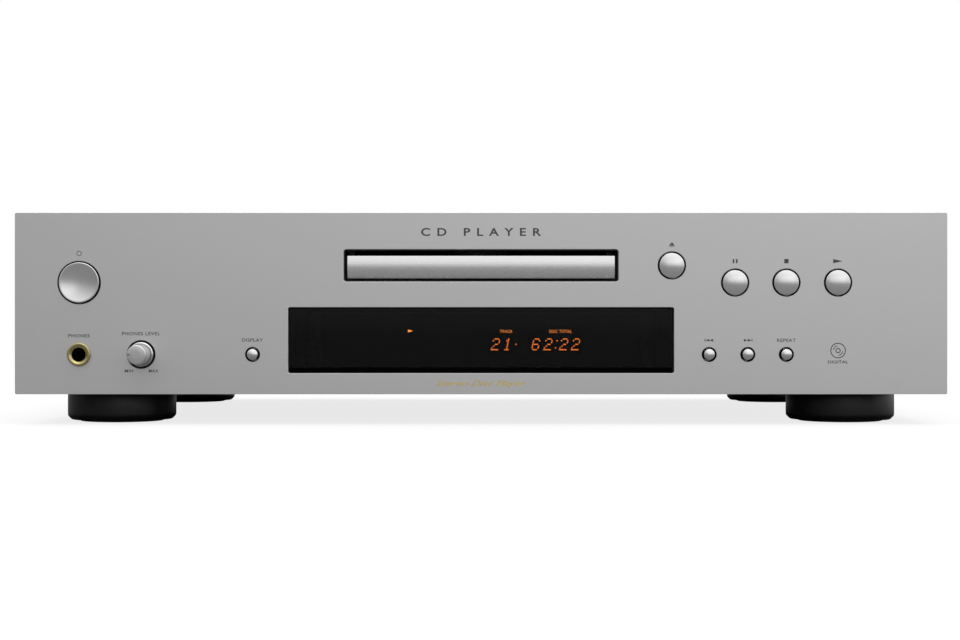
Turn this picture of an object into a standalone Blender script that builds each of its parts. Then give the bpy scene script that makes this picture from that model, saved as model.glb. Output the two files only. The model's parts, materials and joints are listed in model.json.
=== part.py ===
"""A full-width hi-fi compact disc player: casing, feet, controls, disc loader, electronics and sockets.

Metres, +Z up. The front faces -Y and +X is to the right as seen from the front. The origin is under the middle of
the whole object, on the surface that it stands on. A depth is a distance behind the front face of the panel.
"""

import math

import bmesh
import bpy
from mathutils import Matrix, Vector

MM = 0.001
GAP = 0.3 * MM  # between pieces that touch

# Casing
PANEL_WIDTH = 435 * MM
PANEL_HEIGHT = 84.8 * MM
PANEL_BOTTOM = 14.2 * MM
PANEL_THICK = 5 * MM
TOTAL_DEPTH = 307 * MM  # from the knob's face to the rims of the output sockets
KNOB_REACH = 12.4 * MM
SOCKET_REACH = 9 * MM
SHEET = 1 * MM
PANEL_Y = KNOB_REACH - TOTAL_DEPTH / 2
REAR_Y = TOTAL_DEPTH / 2 - SOCKET_REACH
PANEL_TOP = PANEL_BOTTOM + PANEL_HEIGHT
FLOOR_BOTTOM = PANEL_BOTTOM + 2.3 * MM
FLOOR_TOP = FLOOR_BOTTOM + SHEET
COVER_X = 215.5 * MM
COVER_TOP = PANEL_TOP - 1.1 * MM
CHASSIS_X = COVER_X - SHEET - GAP
INNER_TOP = COVER_TOP - SHEET - GAP

# Openings of the panel: half width, bottom, top
WINDOW = (90 * MM, 24 * MM, 54.75 * MM)
SLOT = (64.1 * MM, 66.75 * MM, 81.8 * MM)

# Controls: place (x, z) of each
ROW_LOW = 32.8 * MM
ROW_HIGH = 66.3 * MM
POWER_AT = (-187.5 * MM, ROW_HIGH)
JACK_AT = (-187.5 * MM, ROW_LOW)
KNOB_AT = (-158.6 * MM, ROW_LOW)
LARGE_BUTTONS = {
    "eject_button": (89 * MM, 74.3 * MM),
    "pause_button": (118.5 * MM, ROW_HIGH),
    "stop_button": (142.4 * MM, ROW_HIGH),
    "play_button": (166.5 * MM, ROW_HIGH),
}
SMALL_BUTTONS = {
    "display_button": (-106.6 * MM, ROW_LOW),
    "previous_button": (106.4 * MM, ROW_LOW),
    "next_button": (124.4 * MM, ROW_LOW),
    "repeat_button": (142.4 * MM, ROW_LOW),
}
POWER_HOLE, POWER_CAP = 10.1 * MM, 9.45 * MM
LARGE_HOLE, LARGE_CAP = 6.55 * MM, 5.95 * MM
SMALL_HOLE, SMALL_CAP = 3.45 * MM, 2.5 * MM
JACK_HOLE, JACK_RING, JACK_BORE = 4.5 * MM, 5.4 * MM, 3.35 * MM
KNOB_HOLE, KNOB_SKIRT, KNOB_ROOT, KNOB_FACE = 6.65 * MM, 5.75 * MM, 5 * MM, 4.35 * MM
SHAFT_BORE = 3.8 * MM

# Layers behind the panel, as depths
FRAME_FRONT = PANEL_THICK + GAP
FRAME_BACK = FRAME_FRONT + 3 * MM
RIM_BACK = 16 * MM
FLANGE = FRAME_BACK + GAP
SWITCH_FRONT = 14.9 * MM
BOARD_FRONT = 18 * MM
BOARD_THICK = 1.6 * MM

# Feet
FOOT_RADIUS = 26 * MM
FOOT_X = 175 * MM
FOOT_DEPTHS = {"front": 40 * MM, "rear": 255 * MM}
FOOT_TOP = FLOOR_BOTTOM - GAP
PAD_RADIUS = 20 * MM
PAD_TOP = 1.6 * MM

# Disc loader
DISC_DEPTH = 78 * MM
TRAY_X = 62 * MM
TRAY_TRAVEL = 140 * MM
TRAY_RIM = 77.5 * MM
TRAY_UNDER = 73.3 * MM
RAIL_BOTTOM = 69.5 * MM
DISC_WELL, SMALL_WELL = 60.7 * MM, 40.6 * MM
BASE_BOTTOM, BASE_TOP = 55 * MM, 57.5 * MM
WALL_IN, WALL_OUT, WALL_TOP = 62.6 * MM, 65.6 * MM, 79.3 * MM
GEAR_DEPTH = 34 * MM
RACK_PITCH_X = -56 * MM
DRIVE_TEETH, PULLEY_TEETH = 24, 16
DRIVE_MODULE = 1 * MM
PULLEY_RADIUS, MOTOR_PULLEY_RADIUS = 14 * MM, 3.5 * MM  # at the middle of the belt
BELT_THICK = 1.2 * MM
GEAR_X = RACK_PITCH_X + DRIVE_TEETH * DRIVE_MODULE / 2
PULLEY_X = GEAR_X + (DRIVE_TEETH + PULLEY_TEETH) * DRIVE_MODULE / 2
MOTOR_X = 14 * MM

# Traverse, given as it stands when raised and level. At rest it hangs lower at the front.
PIVOT = Vector((0, PANEL_Y + 181 * MM, 60 * MM))
LOWERED = math.radians(4.5)
PLATE_BOTTOM, PLATE_TOP = 60 * MM, 62 * MM
CAM_DEPTH, CAM_THICK = 50 * MM, 2.5 * MM
CAM_TRAVEL = 24 * MM
PIN_RADIUS, PIN_Z = 1.5 * MM, 61 * MM
ROD_X, ROD_Z, ROD_RADIUS = 17 * MM, 67.5 * MM, 1.5 * MM
SLED_START, SLED_LENGTH = 88 * MM, 30 * MM
SLED_RACK_X = -21.5 * MM
SLED_GEAR_DEPTH = 124 * MM
SLED_MODULE, SLED_TEETH = 1 * MM, 12
SPUR_MODULE, SPUR_TEETH, PINION_TEETH = 0.6 * MM, 28, 10
SLED_GEAR_X = SLED_RACK_X - SLED_TEETH * SLED_MODULE / 2
PINION_DEPTH = SLED_GEAR_DEPTH + (SPUR_TEETH + PINION_TEETH) * SPUR_MODULE / 2

# Sockets of the rear panel: x, at one height
SOCKET_Z = 52 * MM
INLET_X = -168 * MM
ANALOG_X = (150 * MM, 170 * MM)
COAXIAL_X, OPTICAL_X, REMOTE_X = 118 * MM, 98 * MM, 72 * MM
RCA_RADIUS, RCA_BORE = 4.15 * MM, 1.7 * MM

# Finishes: colour, metallic, roughness
FINISHES = {
    "anodised": ((0.40, 0.40, 0.41), 0.9, 0.38),
    "sheet_steel": ((0.33, 0.33, 0.34), 0.6, 0.45),
    "zinc": ((0.52, 0.53, 0.55), 0.9, 0.35),
    "steel": ((0.60, 0.60, 0.60), 1.0, 0.25),
    "gilt": ((0.70, 0.55, 0.25), 1.0, 0.25),
    "black_plastic": ((0.015, 0.015, 0.016), 0.0, 0.35),
    "grey_plastic": ((0.06, 0.06, 0.065), 0.0, 0.5),
    "white_plastic": ((0.75, 0.74, 0.70), 0.0, 0.45),
    "rubber": ((0.02, 0.02, 0.02), 0.0, 0.85),
    "smoked_acrylic": ((0.01, 0.01, 0.012), 0.0, 0.08),
    "circuit_board": ((0.03, 0.16, 0.07), 0.0, 0.5),
    "varnished_core": ((0.10, 0.09, 0.09), 0.5, 0.5),
    "winding_tape": ((0.55, 0.42, 0.10), 0.0, 0.5),
    "lens": ((0.05, 0.06, 0.12), 0.0, 0.05),
}


# ---------------------------------------------------------------- scene and helpers


def clear_scene():
    for obj in list(bpy.data.objects):
        bpy.data.objects.remove(obj, do_unlink=True)


def new_collection(name, hidden=False):
    collection = bpy.data.collections.new(name)
    bpy.context.scene.collection.children.link(collection)
    collection.hide_render = hidden
    return collection


def finish(obj, kind):
    colour, metallic, roughness = FINISHES[kind]
    material = bpy.data.materials.new(f"{obj.name}_{kind}")
    material.use_nodes = True
    shader = material.node_tree.nodes["Principled BSDF"]
    shader.inputs["Base Color"].default_value = (*colour, 1)
    shader.inputs["Metallic"].default_value = metallic
    shader.inputs["Roughness"].default_value = roughness
    obj.data.materials.append(material)


def add_part(name, mesh, kind=None):
    """A part with a finish, or a tool that a Boolean uses when it has no finish."""
    obj = bpy.data.objects.new(name, mesh)
    if kind:
        PARTS.objects.link(obj)
        finish(obj, kind)
    else:
        TOOLS.objects.link(obj)
        obj.hide_render = True
        obj.display_type = "WIRE"
    return obj


def at_depth(depth):
    return PANEL_Y + depth


def block(name, low, high, kind=None):
    """A box between two corners, with its origin at its middle."""
    mesh = bpy.data.meshes.new(name)
    shape = bmesh.new()
    bmesh.ops.create_cube(shape, size=1)
    size = Vector(high) - Vector(low)
    bmesh.ops.scale(shape, vec=size, verts=shape.verts)
    shape.to_mesh(mesh)
    shape.free()
    obj = add_part(name, mesh, kind)
    obj.location = (Vector(low) + Vector(high)) / 2
    return obj


def rod(name, start, end, radius, kind=None, steps=16):
    """A cylinder between two points."""
    mesh = bpy.data.meshes.new(name)
    shape = bmesh.new()
    run = Vector(end) - Vector(start)
    bmesh.ops.create_cone(
        shape, cap_ends=True, segments=steps, radius1=radius, radius2=radius, depth=run.length
    )
    shape.to_mesh(mesh)
    shape.free()
    mesh.shade_smooth()
    mesh.set_sharp_from_angle(angle=math.radians(40))
    obj = add_part(name, mesh, kind)
    obj.location = (Vector(start) + Vector(end)) / 2
    obj.rotation_euler = run.to_track_quat("Z", "Y").to_euler()
    return obj


def turned(name, profile, place, kind=None, facing="Z", steps=24):
    """A profile of (radius, height) points turned about its axis. Facing "Y" points its top to the front."""
    mesh = bpy.data.meshes.new(name)
    closed = profile[0][0] > 0 and profile[-1][0] > 0
    ends = [(i, i + 1) for i in range(len(profile) - 1)]
    if closed:
        ends.append((len(profile) - 1, 0))
    mesh.from_pydata([(radius, 0, height) for radius, height in profile], ends, [])
    obj = add_part(name, mesh, kind)
    obj.location = place
    if facing == "Y":
        obj.rotation_euler.x = math.radians(90)
    screw = obj.modifiers.new("Screw", "SCREW")
    screw.steps = screw.render_steps = steps
    screw.use_merge_vertices = True
    screw.merge_threshold = 1e-5
    screw.use_smooth_shade = True
    return obj


def circle(centre, radius, steps=24):
    angles = [2 * math.pi * i / steps for i in range(steps)]
    return [(centre[0] + radius * math.cos(a), centre[1] + radius * math.sin(a)) for a in angles]


def arc(centre, radius, start, end, steps):
    """Points on an arc between two angles in degrees, with both ends."""
    angles = [math.radians(start + (end - start) * i / steps) for i in range(steps + 1)]
    return [(centre[0] + radius * math.cos(a), centre[1] + radius * math.sin(a)) for a in angles]


def rounded(low, high, radius=0.0, steps=3):
    """A rectangle between two corners, with round corners if it has a radius."""
    if not radius:
        return [low, (high[0], low[1]), high, (low[0], high[1])]
    corners = (
        ((high[0] - radius, low[1] + radius), -90),
        ((high[0] - radius, high[1] - radius), 0),
        ((low[0] + radius, high[1] - radius), 90),
        ((low[0] + radius, low[1] + radius), 180),
    )
    return [p for centre, start in corners for p in arc(centre, radius, start, start + 90, steps)]


def capsule(start, end, radius, steps=6):
    """The outline of a slot with round ends between two points."""
    turn = math.degrees(math.atan2(end[1] - start[1], end[0] - start[0]))
    return arc(end, radius, turn - 90, turn + 90, steps) + arc(start, radius, turn + 90, turn + 270, steps)


FACINGS = {
    "Z": Matrix.Identity(4),
    "Y": Matrix(((1, 0, 0, 0), (0, 0, -1, 0), (0, 1, 0, 0), (0, 0, 0, 1))),
    "X": Matrix(((0, 0, 1, 0), (1, 0, 0, 0), (0, 1, 0, 0), (0, 0, 0, 1))),
}


def flat(name, loops, low, high, kind=None, facing="Z", place=(0, 0)):
    """A flat outline with thickness. Its points are (x, y), (x, z) facing Y, or (y, z) facing X."""
    curve = bpy.data.curves.new(name, "CURVE")
    curve.dimensions = "2D"
    curve.fill_mode = "BOTH"
    curve.extrude = (high - low) / 2
    for loop in loops:
        spline = curve.splines.new("POLY")
        spline.points.add(len(loop) - 1)
        for point, (across, up) in zip(spline.points, loop):
            point.co = (across, up, 0, 1)
        spline.use_cyclic_u = True
    outline = bpy.data.objects.new(name + "_outline", curve)
    bpy.context.scene.collection.objects.link(outline)
    middle = (low + high) / 2
    places = {"Z": (*place, middle), "Y": (place[0], middle, place[1]), "X": (middle, *place)}
    outline.matrix_world = Matrix.Translation(places[facing]) @ FACINGS[facing]
    bpy.context.view_layer.update()
    graph = bpy.context.evaluated_depsgraph_get()
    mesh = bpy.data.meshes.new_from_object(outline.evaluated_get(graph))
    shape = bmesh.new()
    shape.from_mesh(mesh)
    bmesh.ops.remove_doubles(shape, verts=shape.verts, dist=1e-6)
    bmesh.ops.recalc_face_normals(shape, faces=shape.faces)
    shape.to_mesh(mesh)
    shape.free()
    mesh.name = name
    obj = add_part(name, mesh, kind)
    obj.matrix_world = outline.matrix_world
    bpy.data.objects.remove(outline, do_unlink=True)
    return obj


def boolean(obj, operation, tools):
    """Joins the tools to an object, or cuts them from it."""
    group = bpy.data.collections.new(f"{obj.name}_{operation.lower()}")
    TOOLS.children.link(group)
    for tool in tools:
        TOOLS.objects.unlink(tool)
        group.objects.link(tool)
    modifier = obj.modifiers.new(operation.title(), "BOOLEAN")
    modifier.operation = operation
    modifier.operand_type = "COLLECTION"
    modifier.collection = group
    return obj


def join(obj, *tools):
    return boolean(obj, "UNION", tools)


def cut(obj, *tools):
    return boolean(obj, "DIFFERENCE", tools)


def bowed(radius, edge, middle, steps=3):
    """Profile points from the axis to a rim, on a shallow curve that is hollow or domed."""
    return [
        (radius * i / steps, middle + (edge - middle) * (i / steps) ** 2) for i in range(steps + 1)
    ]


def gear_outline(teeth, module, tooth_at=0.0, thinner=0.16 * MM):
    """An involute gear with one tooth at the angle tooth_at. Each tooth is a little thin, for backlash."""
    pressure = math.radians(20)
    pitch = teeth * module / 2
    base = pitch * math.cos(pressure)
    half = math.pi / (2 * teeth) - thinner / (2 * pitch)

    def involute(radius):
        slope = math.acos(min(1, base / radius))
        return math.tan(slope) - slope

    radii = (pitch - 1.05 * module, pitch + 0.75 * module)
    halves = [half + involute(pitch) - involute(radius) for radius in radii]
    flank = list(zip(radii, halves))
    tooth = [(r, -h) for r, h in flank] + [(r, h) for r, h in reversed(flank)]
    points = []
    for i in range(teeth):
        middle = tooth_at + 2 * math.pi * i / teeth
        points += [(r * math.cos(middle + a), r * math.sin(middle + a)) for r, a in tooth]
    return points


def rack_outline(first, last, gear_y, pitch_x, back_x, module, thinner=0.16 * MM):
    """A rack along Y between two ends, with the middle of a tooth space beside the gear's axis."""
    pitch = math.pi * module
    side = 1 if pitch_x > back_x else -1
    slope = math.tan(math.radians(20))
    half = pitch / 4 - thinner / 2
    tip, root = 0.75 * module, 1.05 * module
    count = int((last - first) / pitch) - 1
    start = math.ceil((first - gear_y) / pitch)
    points = []
    for i in range(start, start + count):
        middle = gear_y + (i + 0.5) * pitch
        points += [
            (pitch_x - side * root, middle - half - root * slope),
            (pitch_x + side * tip, middle - half + tip * slope),
            (pitch_x + side * tip, middle + half - tip * slope),
            (pitch_x - side * root, middle + half + root * slope),
        ]
    back = [(back_x, last), (back_x, first)]
    ends = [(pitch_x - side * root, first)], [(pitch_x - side * root, last)]
    return ends[0] + points + ends[1] + back


# ---------------------------------------------------------------- casing


def holes(low_detail=False):
    """The round holes that the controls pass through."""
    steps = 16 if low_detail else 28
    fine = 12 if low_detail else 20
    loops = [circle(POWER_AT, POWER_HOLE, steps), circle(JACK_AT, JACK_HOLE, fine)]
    loops += [circle(place, LARGE_HOLE, steps) for place in LARGE_BUTTONS.values()]
    loops += [circle(place, SMALL_HOLE, fine) for place in SMALL_BUTTONS.values()]
    return loops


def front_panel():
    half = PANEL_WIDTH / 2
    loops = [
        rounded((-half, PANEL_BOTTOM), (half, PANEL_TOP), 0.8 * MM, 2),
        rounded((-WINDOW[0], WINDOW[1]), (WINDOW[0], WINDOW[2]), 1 * MM, 2),
        rounded((-SLOT[0], SLOT[1]), (SLOT[0], SLOT[2]), 1.3 * MM, 2),
        circle(KNOB_AT, KNOB_HOLE, 28),
    ]
    flat(
        "front_panel", loops + holes(), at_depth(0), at_depth(PANEL_THICK), "anodised", facing="Y"
    )


def front_frame():
    """The moulded frame behind the panel, which carries the buttons and the window."""
    low, high = (-CHASSIS_X, FLOOR_BOTTOM), (CHASSIS_X, INNER_TOP)
    wall = 2.5 * MM
    outer = rounded(low, high, 2.5 * MM, 2)
    loops = [outer, circle(KNOB_AT, SHAFT_BORE, 16)] + holes(True)
    frame = flat(
        "front_frame", loops, at_depth(FRAME_FRONT), at_depth(FRAME_BACK), "black_plastic", facing="Y"
    )
    step = 0.3 * MM
    ring = rounded((low[0] + step, low[1] + step), (high[0] - step, high[1] - step), 2.5 * MM, 2)
    inner = rounded((low[0] + wall, low[1] + wall), (high[0] - wall, high[1] - wall))
    rim = flat(
        "frame_rim",
        [ring, inner],
        at_depth(FRAME_BACK - 0.5 * MM),
        at_depth(RIM_BACK),
        facing="Y",
    )
    join(frame, rim)
    front, back = at_depth(FRAME_FRONT - MM), at_depth(FRAME_BACK + MM)
    view = block("frame_view", (-82 * MM, front, 27 * MM), (82 * MM, back, 52.5 * MM))
    slot = block(
        "frame_slot",
        (-SLOT[0] - MM, front, SLOT[1] - 0.8 * MM),
        (SLOT[0] + MM, back, SLOT[2] + 0.7 * MM),
    )
    cut(frame, view, slot)


def display_window():
    """The smoked pane, with a sloping lower edge."""
    half, low, high = WINDOW[0] - 0.6 * MM, WINDOW[1] + 0.5 * MM, WINDOW[2] - 0.6 * MM
    front, back, slope = 1.2 * MM, 4.4 * MM, 2.2 * MM
    section = [
        (at_depth(front), low + slope),
        (at_depth(back), low),
        (at_depth(back), high),
        (at_depth(front), high),
    ]
    flat("display_window", [section], -half, half, "smoked_acrylic", facing="X")


def chassis_base():
    """The steel pan: a floor and two side flanges, with vents under the transformer."""
    flange_top = 30 * MM
    front, back = at_depth(RIM_BACK + GAP), REAR_Y - 1.5 * MM
    section = [
        (-CHASSIS_X, flange_top),
        (-CHASSIS_X, FLOOR_BOTTOM),
        (CHASSIS_X, FLOOR_BOTTOM),
        (CHASSIS_X, flange_top),
        (CHASSIS_X - SHEET, flange_top),
        (CHASSIS_X - SHEET, FLOOR_TOP),
        (-CHASSIS_X + SHEET, FLOOR_TOP),
        (-CHASSIS_X + SHEET, flange_top),
    ]
    pan = flat("chassis_base", [section], front, back, "zinc", facing="Y")
    vents = [
        block(
            f"floor_vent_{i}",
            (x * MM, at_depth(150 * MM), FLOOR_BOTTOM - MM),
            (x * MM + 3 * MM, at_depth(190 * MM), FLOOR_TOP + MM),
        )
        for i, x in enumerate(range(-170, -105, 10))
    ]
    cut(pan, *vents)


def rear_panel():
    corner = 3.5 * MM
    low, high = (-CHASSIS_X, FLOOR_TOP + GAP), (CHASSIS_X, INNER_TOP - 0.8 * MM)
    inlet = rounded(
        (INLET_X - 10.3 * MM, SOCKET_Z - 6.3 * MM), (INLET_X + 10.3 * MM, SOCKET_Z + 6.3 * MM), 3 * MM
    )
    optical = rounded(
        (OPTICAL_X - 5.3 * MM, SOCKET_Z - 5.3 * MM), (OPTICAL_X + 5.3 * MM, SOCKET_Z + 5.3 * MM)
    )
    loops = [rounded(low, high, corner, 2), inlet, optical]
    loops += [circle((x, SOCKET_Z), 4.9 * MM, 16) for x in (*ANALOG_X, COAXIAL_X)]
    loops += [circle((REMOTE_X, SOCKET_Z), 3.9 * MM, 12)]
    flat("rear_panel", loops, REAR_Y - 1.2 * MM, REAR_Y, "sheet_steel", facing="Y")


def top_cover():
    """One folded sheet: left side, top, right side, and a lip over the rear panel."""
    front, back = at_depth(FRAME_FRONT), REAR_Y + GAP + SHEET
    bottom, lip = FLOOR_BOTTOM, COVER_TOP - 8 * MM
    mesh = bpy.data.meshes.new("top_cover")
    shape = bmesh.new()
    section = [(-COVER_X, bottom), (-COVER_X, COVER_TOP), (COVER_X, COVER_TOP), (COVER_X, bottom)]
    line = [shape.verts.new((x, front, z)) for x, z in section]
    edges = [shape.edges.new(pair) for pair in zip(line, line[1:])]
    swept = bmesh.ops.extrude_edge_only(shape, edges=edges)["geom"]
    moved = [g for g in swept if isinstance(g, bmesh.types.BMVert)]
    bmesh.ops.translate(shape, vec=(0, back - front, 0), verts=moved)
    rear = [
        e for e in shape.edges if all(v.co.y > back - MM and v.co.z > COVER_TOP - MM for v in e.verts)
    ]
    hung = bmesh.ops.extrude_edge_only(shape, edges=rear)["geom"]
    moved = [g for g in hung if isinstance(g, bmesh.types.BMVert)]
    bmesh.ops.translate(shape, vec=(0, 0, lip - COVER_TOP), verts=moved)
    bmesh.ops.recalc_face_normals(shape, faces=shape.faces)
    if max(shape.faces, key=lambda f: f.calc_center_median().z).normal.z < 0:
        bmesh.ops.reverse_faces(shape, faces=shape.faces)
    shape.to_mesh(mesh)
    shape.free()
    cover = add_part("top_cover", mesh, "sheet_steel")
    bend = cover.modifiers.new("Bend", "BEVEL")
    bend.width = 2 * MM
    bend.segments = 2
    bend.limit_method = "ANGLE"
    wall = cover.modifiers.new("Wall", "SOLIDIFY")
    wall.thickness = SHEET
    wall.offset = -1
    vents = []
    for side, first in (("left", -178), ("right", 92)):
        for i in range(12):
            x = (first + 8 * i) * MM
            vents.append(
                block(
                    f"vent_{side}_{i}",
                    (x, at_depth(170 * MM), COVER_TOP - 3 * MM),
                    (x + 3 * MM, at_depth(215 * MM), COVER_TOP + MM),
                )
            )
    cut(cover, *vents)


def feet():
    for side, x in (("left", -FOOT_X), ("right", FOOT_X)):
        for end, depth in FOOT_DEPTHS.items():
            place = (x, at_depth(depth), 0)
            foot = [
                (FOOT_RADIUS, FOOT_TOP),
                (FOOT_RADIUS, 2.6 * MM),
                (FOOT_RADIUS - 1.8 * MM, 0.8 * MM),
                (PAD_RADIUS + GAP, 0.8 * MM),
                (PAD_RADIUS + GAP, PAD_TOP + GAP),
                (4 * MM, PAD_TOP + GAP),
                (4 * MM, FOOT_TOP),
            ]
            turned(f"foot_{end}_{side}", foot, place, "black_plastic", steps=28)
            pad = [(PAD_RADIUS, PAD_TOP), (PAD_RADIUS, 0), (4 * MM, 0), (4 * MM, PAD_TOP)]
            turned(f"foot_pad_{end}_{side}", pad, place, "rubber", steps=20)


# ---------------------------------------------------------------- controls


def push_button(name, place, face, cap, flange, flange_thick, stem, stem_end, steps):
    """A cap through the panel, a flange behind the frame and a stem to the switch."""
    profile = face + [
        (cap, face[-1][1] - 0.45 * MM),
        (cap, -FLANGE),
        (flange, -FLANGE),
        (flange, -FLANGE - flange_thick),
        (stem, -FLANGE - flange_thick),
        (stem, -stem_end),
        (0, -stem_end),
    ]
    where = (place[0], PANEL_Y, place[1])
    return turned(name, profile, where, "anodised", facing="Y", steps=steps)


def buttons():
    hollow = bowed(POWER_CAP - 0.5 * MM, 0.9 * MM, 0.1 * MM)
    push_button(
        "power_button", POWER_AT, hollow, POWER_CAP, 12 * MM, 1.8 * MM, 3 * MM, 24 * MM, 28
    )
    for name, place in LARGE_BUTTONS.items():
        dome = bowed(LARGE_CAP - 0.35 * MM, 0.4 * MM, 1.5 * MM, 2)
        push_button(name, place, dome, LARGE_CAP, 7.8 * MM, 1.5 * MM, 2.5 * MM, 13.6 * MM, 20)
    for name, place in SMALL_BUTTONS.items():
        dome = bowed(SMALL_CAP - 0.3 * MM, 1.2 * MM, 1.7 * MM, 2)
        push_button(name, place, dome, SMALL_CAP, 4.5 * MM, 1.2 * MM, 1.5 * MM, 13.8 * MM, 12)


def level_control():
    """The headphone level knob with its shaft, and the potentiometer that the shaft turns in."""
    shaft, shaft_end = 2 * MM, 14 * MM
    knob = [
        (0, KNOB_REACH),
        (KNOB_FACE - 0.3 * MM, KNOB_REACH),
        (KNOB_FACE, KNOB_REACH - 0.3 * MM),
        (KNOB_ROOT, 1.2 * MM),
        (KNOB_SKIRT, 0.5 * MM),
        (KNOB_SKIRT, -4.4 * MM),
        (shaft, -4.4 * MM),
        (shaft, -shaft_end),
        (0, -shaft_end),
    ]
    where = (KNOB_AT[0], PANEL_Y, KNOB_AT[1])
    turned("phones_level_knob", knob, where, "anodised", facing="Y", steps=28)
    x, z = KNOB_AT
    body = block(
        "level_potentiometer",
        (x - 5.5 * MM, at_depth(11 * MM), z - 5.5 * MM),
        (x + 5.5 * MM, at_depth(17 * MM), z + 5.5 * MM),
        "grey_plastic",
    )
    bush = rod("level_bush", (x, at_depth(4.8 * MM), z), (x, at_depth(12 * MM), z), 3.4 * MM)
    bore = rod("level_bore", (x, at_depth(4 * MM), z), (x, at_depth(14.6 * MM), z), shaft + GAP)
    join(body, bush)
    cut(body, bore)


def phones_jack():
    x, z = JACK_AT
    tube, tube_end = 4.1 * MM, 8.4 * MM
    nut = [
        (JACK_RING - 0.3 * MM, 1.5 * MM),
        (JACK_RING, 1.2 * MM),
        (JACK_RING, GAP),
        (tube, GAP),
        (tube, -tube_end),
        (JACK_BORE, -tube_end),
        (JACK_BORE, 0.8 * MM),
        (JACK_BORE + 0.7 * MM, 1.5 * MM),
    ]
    turned("phones_jack_nut", nut, (x, PANEL_Y, z), "gilt", facing="Y", steps=20)
    half, back = 6 * MM, 32 * MM
    body = block(
        "phones_jack_body",
        (x - half, at_depth(tube_end + GAP), z - half),
        (x + half, at_depth(back), z + half),
        "black_plastic",
    )
    bore = rod(
        "phones_bore", (x, at_depth(tube_end), z), (x, at_depth(back - 3 * MM), z), JACK_BORE, steps=20
    )
    cut(body, bore)


def power_switch():
    x, z = POWER_AT
    body = block(
        "power_switch",
        (x - 7 * MM, at_depth(32 * MM), z - 7 * MM),
        (x + 7 * MM, at_depth(52 * MM), z + 7 * MM),
        "grey_plastic",
    )
    plunger = rod(
        "power_plunger", (x, at_depth(26.8 * MM), z), (x, at_depth(33 * MM), z), 3.2 * MM
    )
    join(body, plunger)


def display_and_board():
    """The display module, and the board behind it with a switch behind each button."""
    block(
        "display_module",
        (-75 * MM, at_depth(8.7 * MM), 28 * MM),
        (75 * MM, at_depth(17.6 * MM), 51 * MM),
        "grey_plastic",
    )
    low, middle, high = 20 * MM, 53 * MM, 90 * MM
    left, step, right = -118 * MM, 72 * MM, 178 * MM
    edge = [(left, low), (right, low), (right, high), (step, high), (step, middle), (left, middle)]
    board = flat(
        "front_circuit_board",
        [edge],
        at_depth(BOARD_FRONT),
        at_depth(BOARD_FRONT + BOARD_THICK),
        "circuit_board",
        facing="Y",
    )
    half = 3 * MM
    switches = [
        block(
            f"{name}_switch",
            (x - half, at_depth(SWITCH_FRONT), z - half),
            (x + half, at_depth(BOARD_FRONT + 0.5 * MM), z + half),
        )
        for name, (x, z) in {**LARGE_BUTTONS, **SMALL_BUTTONS}.items()
    ]
    join(board, *switches)


# ---------------------------------------------------------------- disc loader


def loader_frame():
    """The moulded base that guides the tray and holds the gears, the motor and the traverse."""
    front, back = at_depth(12 * MM), at_depth(195 * MM)
    edge = 68 * MM
    well = rounded((-42 * MM, at_depth(49.2 * MM)), (42 * MM, at_depth(188 * MM)))
    motor_hole = circle((MOTOR_X, at_depth(GEAR_DEPTH)), 3 * MM, 12)
    base = flat(
        "loader_frame",
        [rounded((-edge, front), (edge, back)), well, motor_hole],
        BASE_BOTTOM,
        BASE_TOP,
        "grey_plastic",
    )
    added = []
    for side in (-1, 1):
        tag = "left" if side < 0 else "right"

        def both(name, inner, outer, depths, heights):
            spans = sorted((side * inner, side * outer))
            low = (spans[0], at_depth(depths[0]), heights[0])
            high = (spans[1], at_depth(depths[1]), heights[1])
            added.append(block(f"{name}_{tag}", low, high))

        run = (12 * MM, 195 * MM)
        both("wall", WALL_IN, WALL_OUT, run, (BASE_BOTTOM + MM, WALL_TOP))
        both("ledge", 58 * MM, WALL_IN + MM, run, (66.7 * MM, RAIL_BOTTOM - GAP))
        for i, depth in enumerate((22 * MM, 110 * MM)):
            span = (depth, depth + 14 * MM)
            both(f"tab_{i}", 59 * MM, WALL_IN + MM, span, (TRAY_RIM + GAP, WALL_TOP))
        both("cam_post", 43.4 * MM, 46 * MM, (48.5 * MM, 54.5 * MM), (43.5 * MM, 56 * MM))
        for i, depth in enumerate((28 * MM, 188 * MM)):
            foot = (side * 60 * MM, at_depth(depth), FLOOR_TOP + GAP)
            top = (foot[0], foot[1], BASE_BOTTOM + MM)
            added.append(rod(f"leg_{tag}_{i}", foot, top, 4 * MM, steps=12))
        lug_x = sorted((side * 42.4 * MM, side * 45.4 * MM))
        hinge = circle((PIVOT.y, PIVOT.z), 2.3 * MM, 16)
        outline = rounded(
            (PIVOT.y - 5 * MM, BASE_BOTTOM + MM), (PIVOT.y + 5 * MM, PIVOT.z + 5 * MM)
        )
        added.append(flat(f"lug_{tag}", [outline, hinge], *lug_x, facing="X"))
    added.append(
        block(
            "cam_ledge",
            (-46 * MM, at_depth(48.5 * MM), 43.2 * MM),
            (46 * MM, at_depth(54.5 * MM), 45.6 * MM),
        )
    )
    for name, x, top in (("drive_post", GEAR_X, 71.5 * MM), ("pulley_post", PULLEY_X, 68 * MM)):
        foot = (x, at_depth(GEAR_DEPTH), BASE_BOTTOM + MM)
        added.append(rod(name, foot, (x, foot[1], top), 2 * MM, steps=12))
    join(base, *added)
    slots = [
        rod(
            f"pivot_clear_{tag}",
            (side * 41 * MM, PIVOT.y, PIVOT.z),
            (side * 47 * MM, PIVOT.y, PIVOT.z),
            2.3 * MM,
        )
        for tag, side in (("left", -1), ("right", 1))
    ]
    cut(base, *slots)


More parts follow.
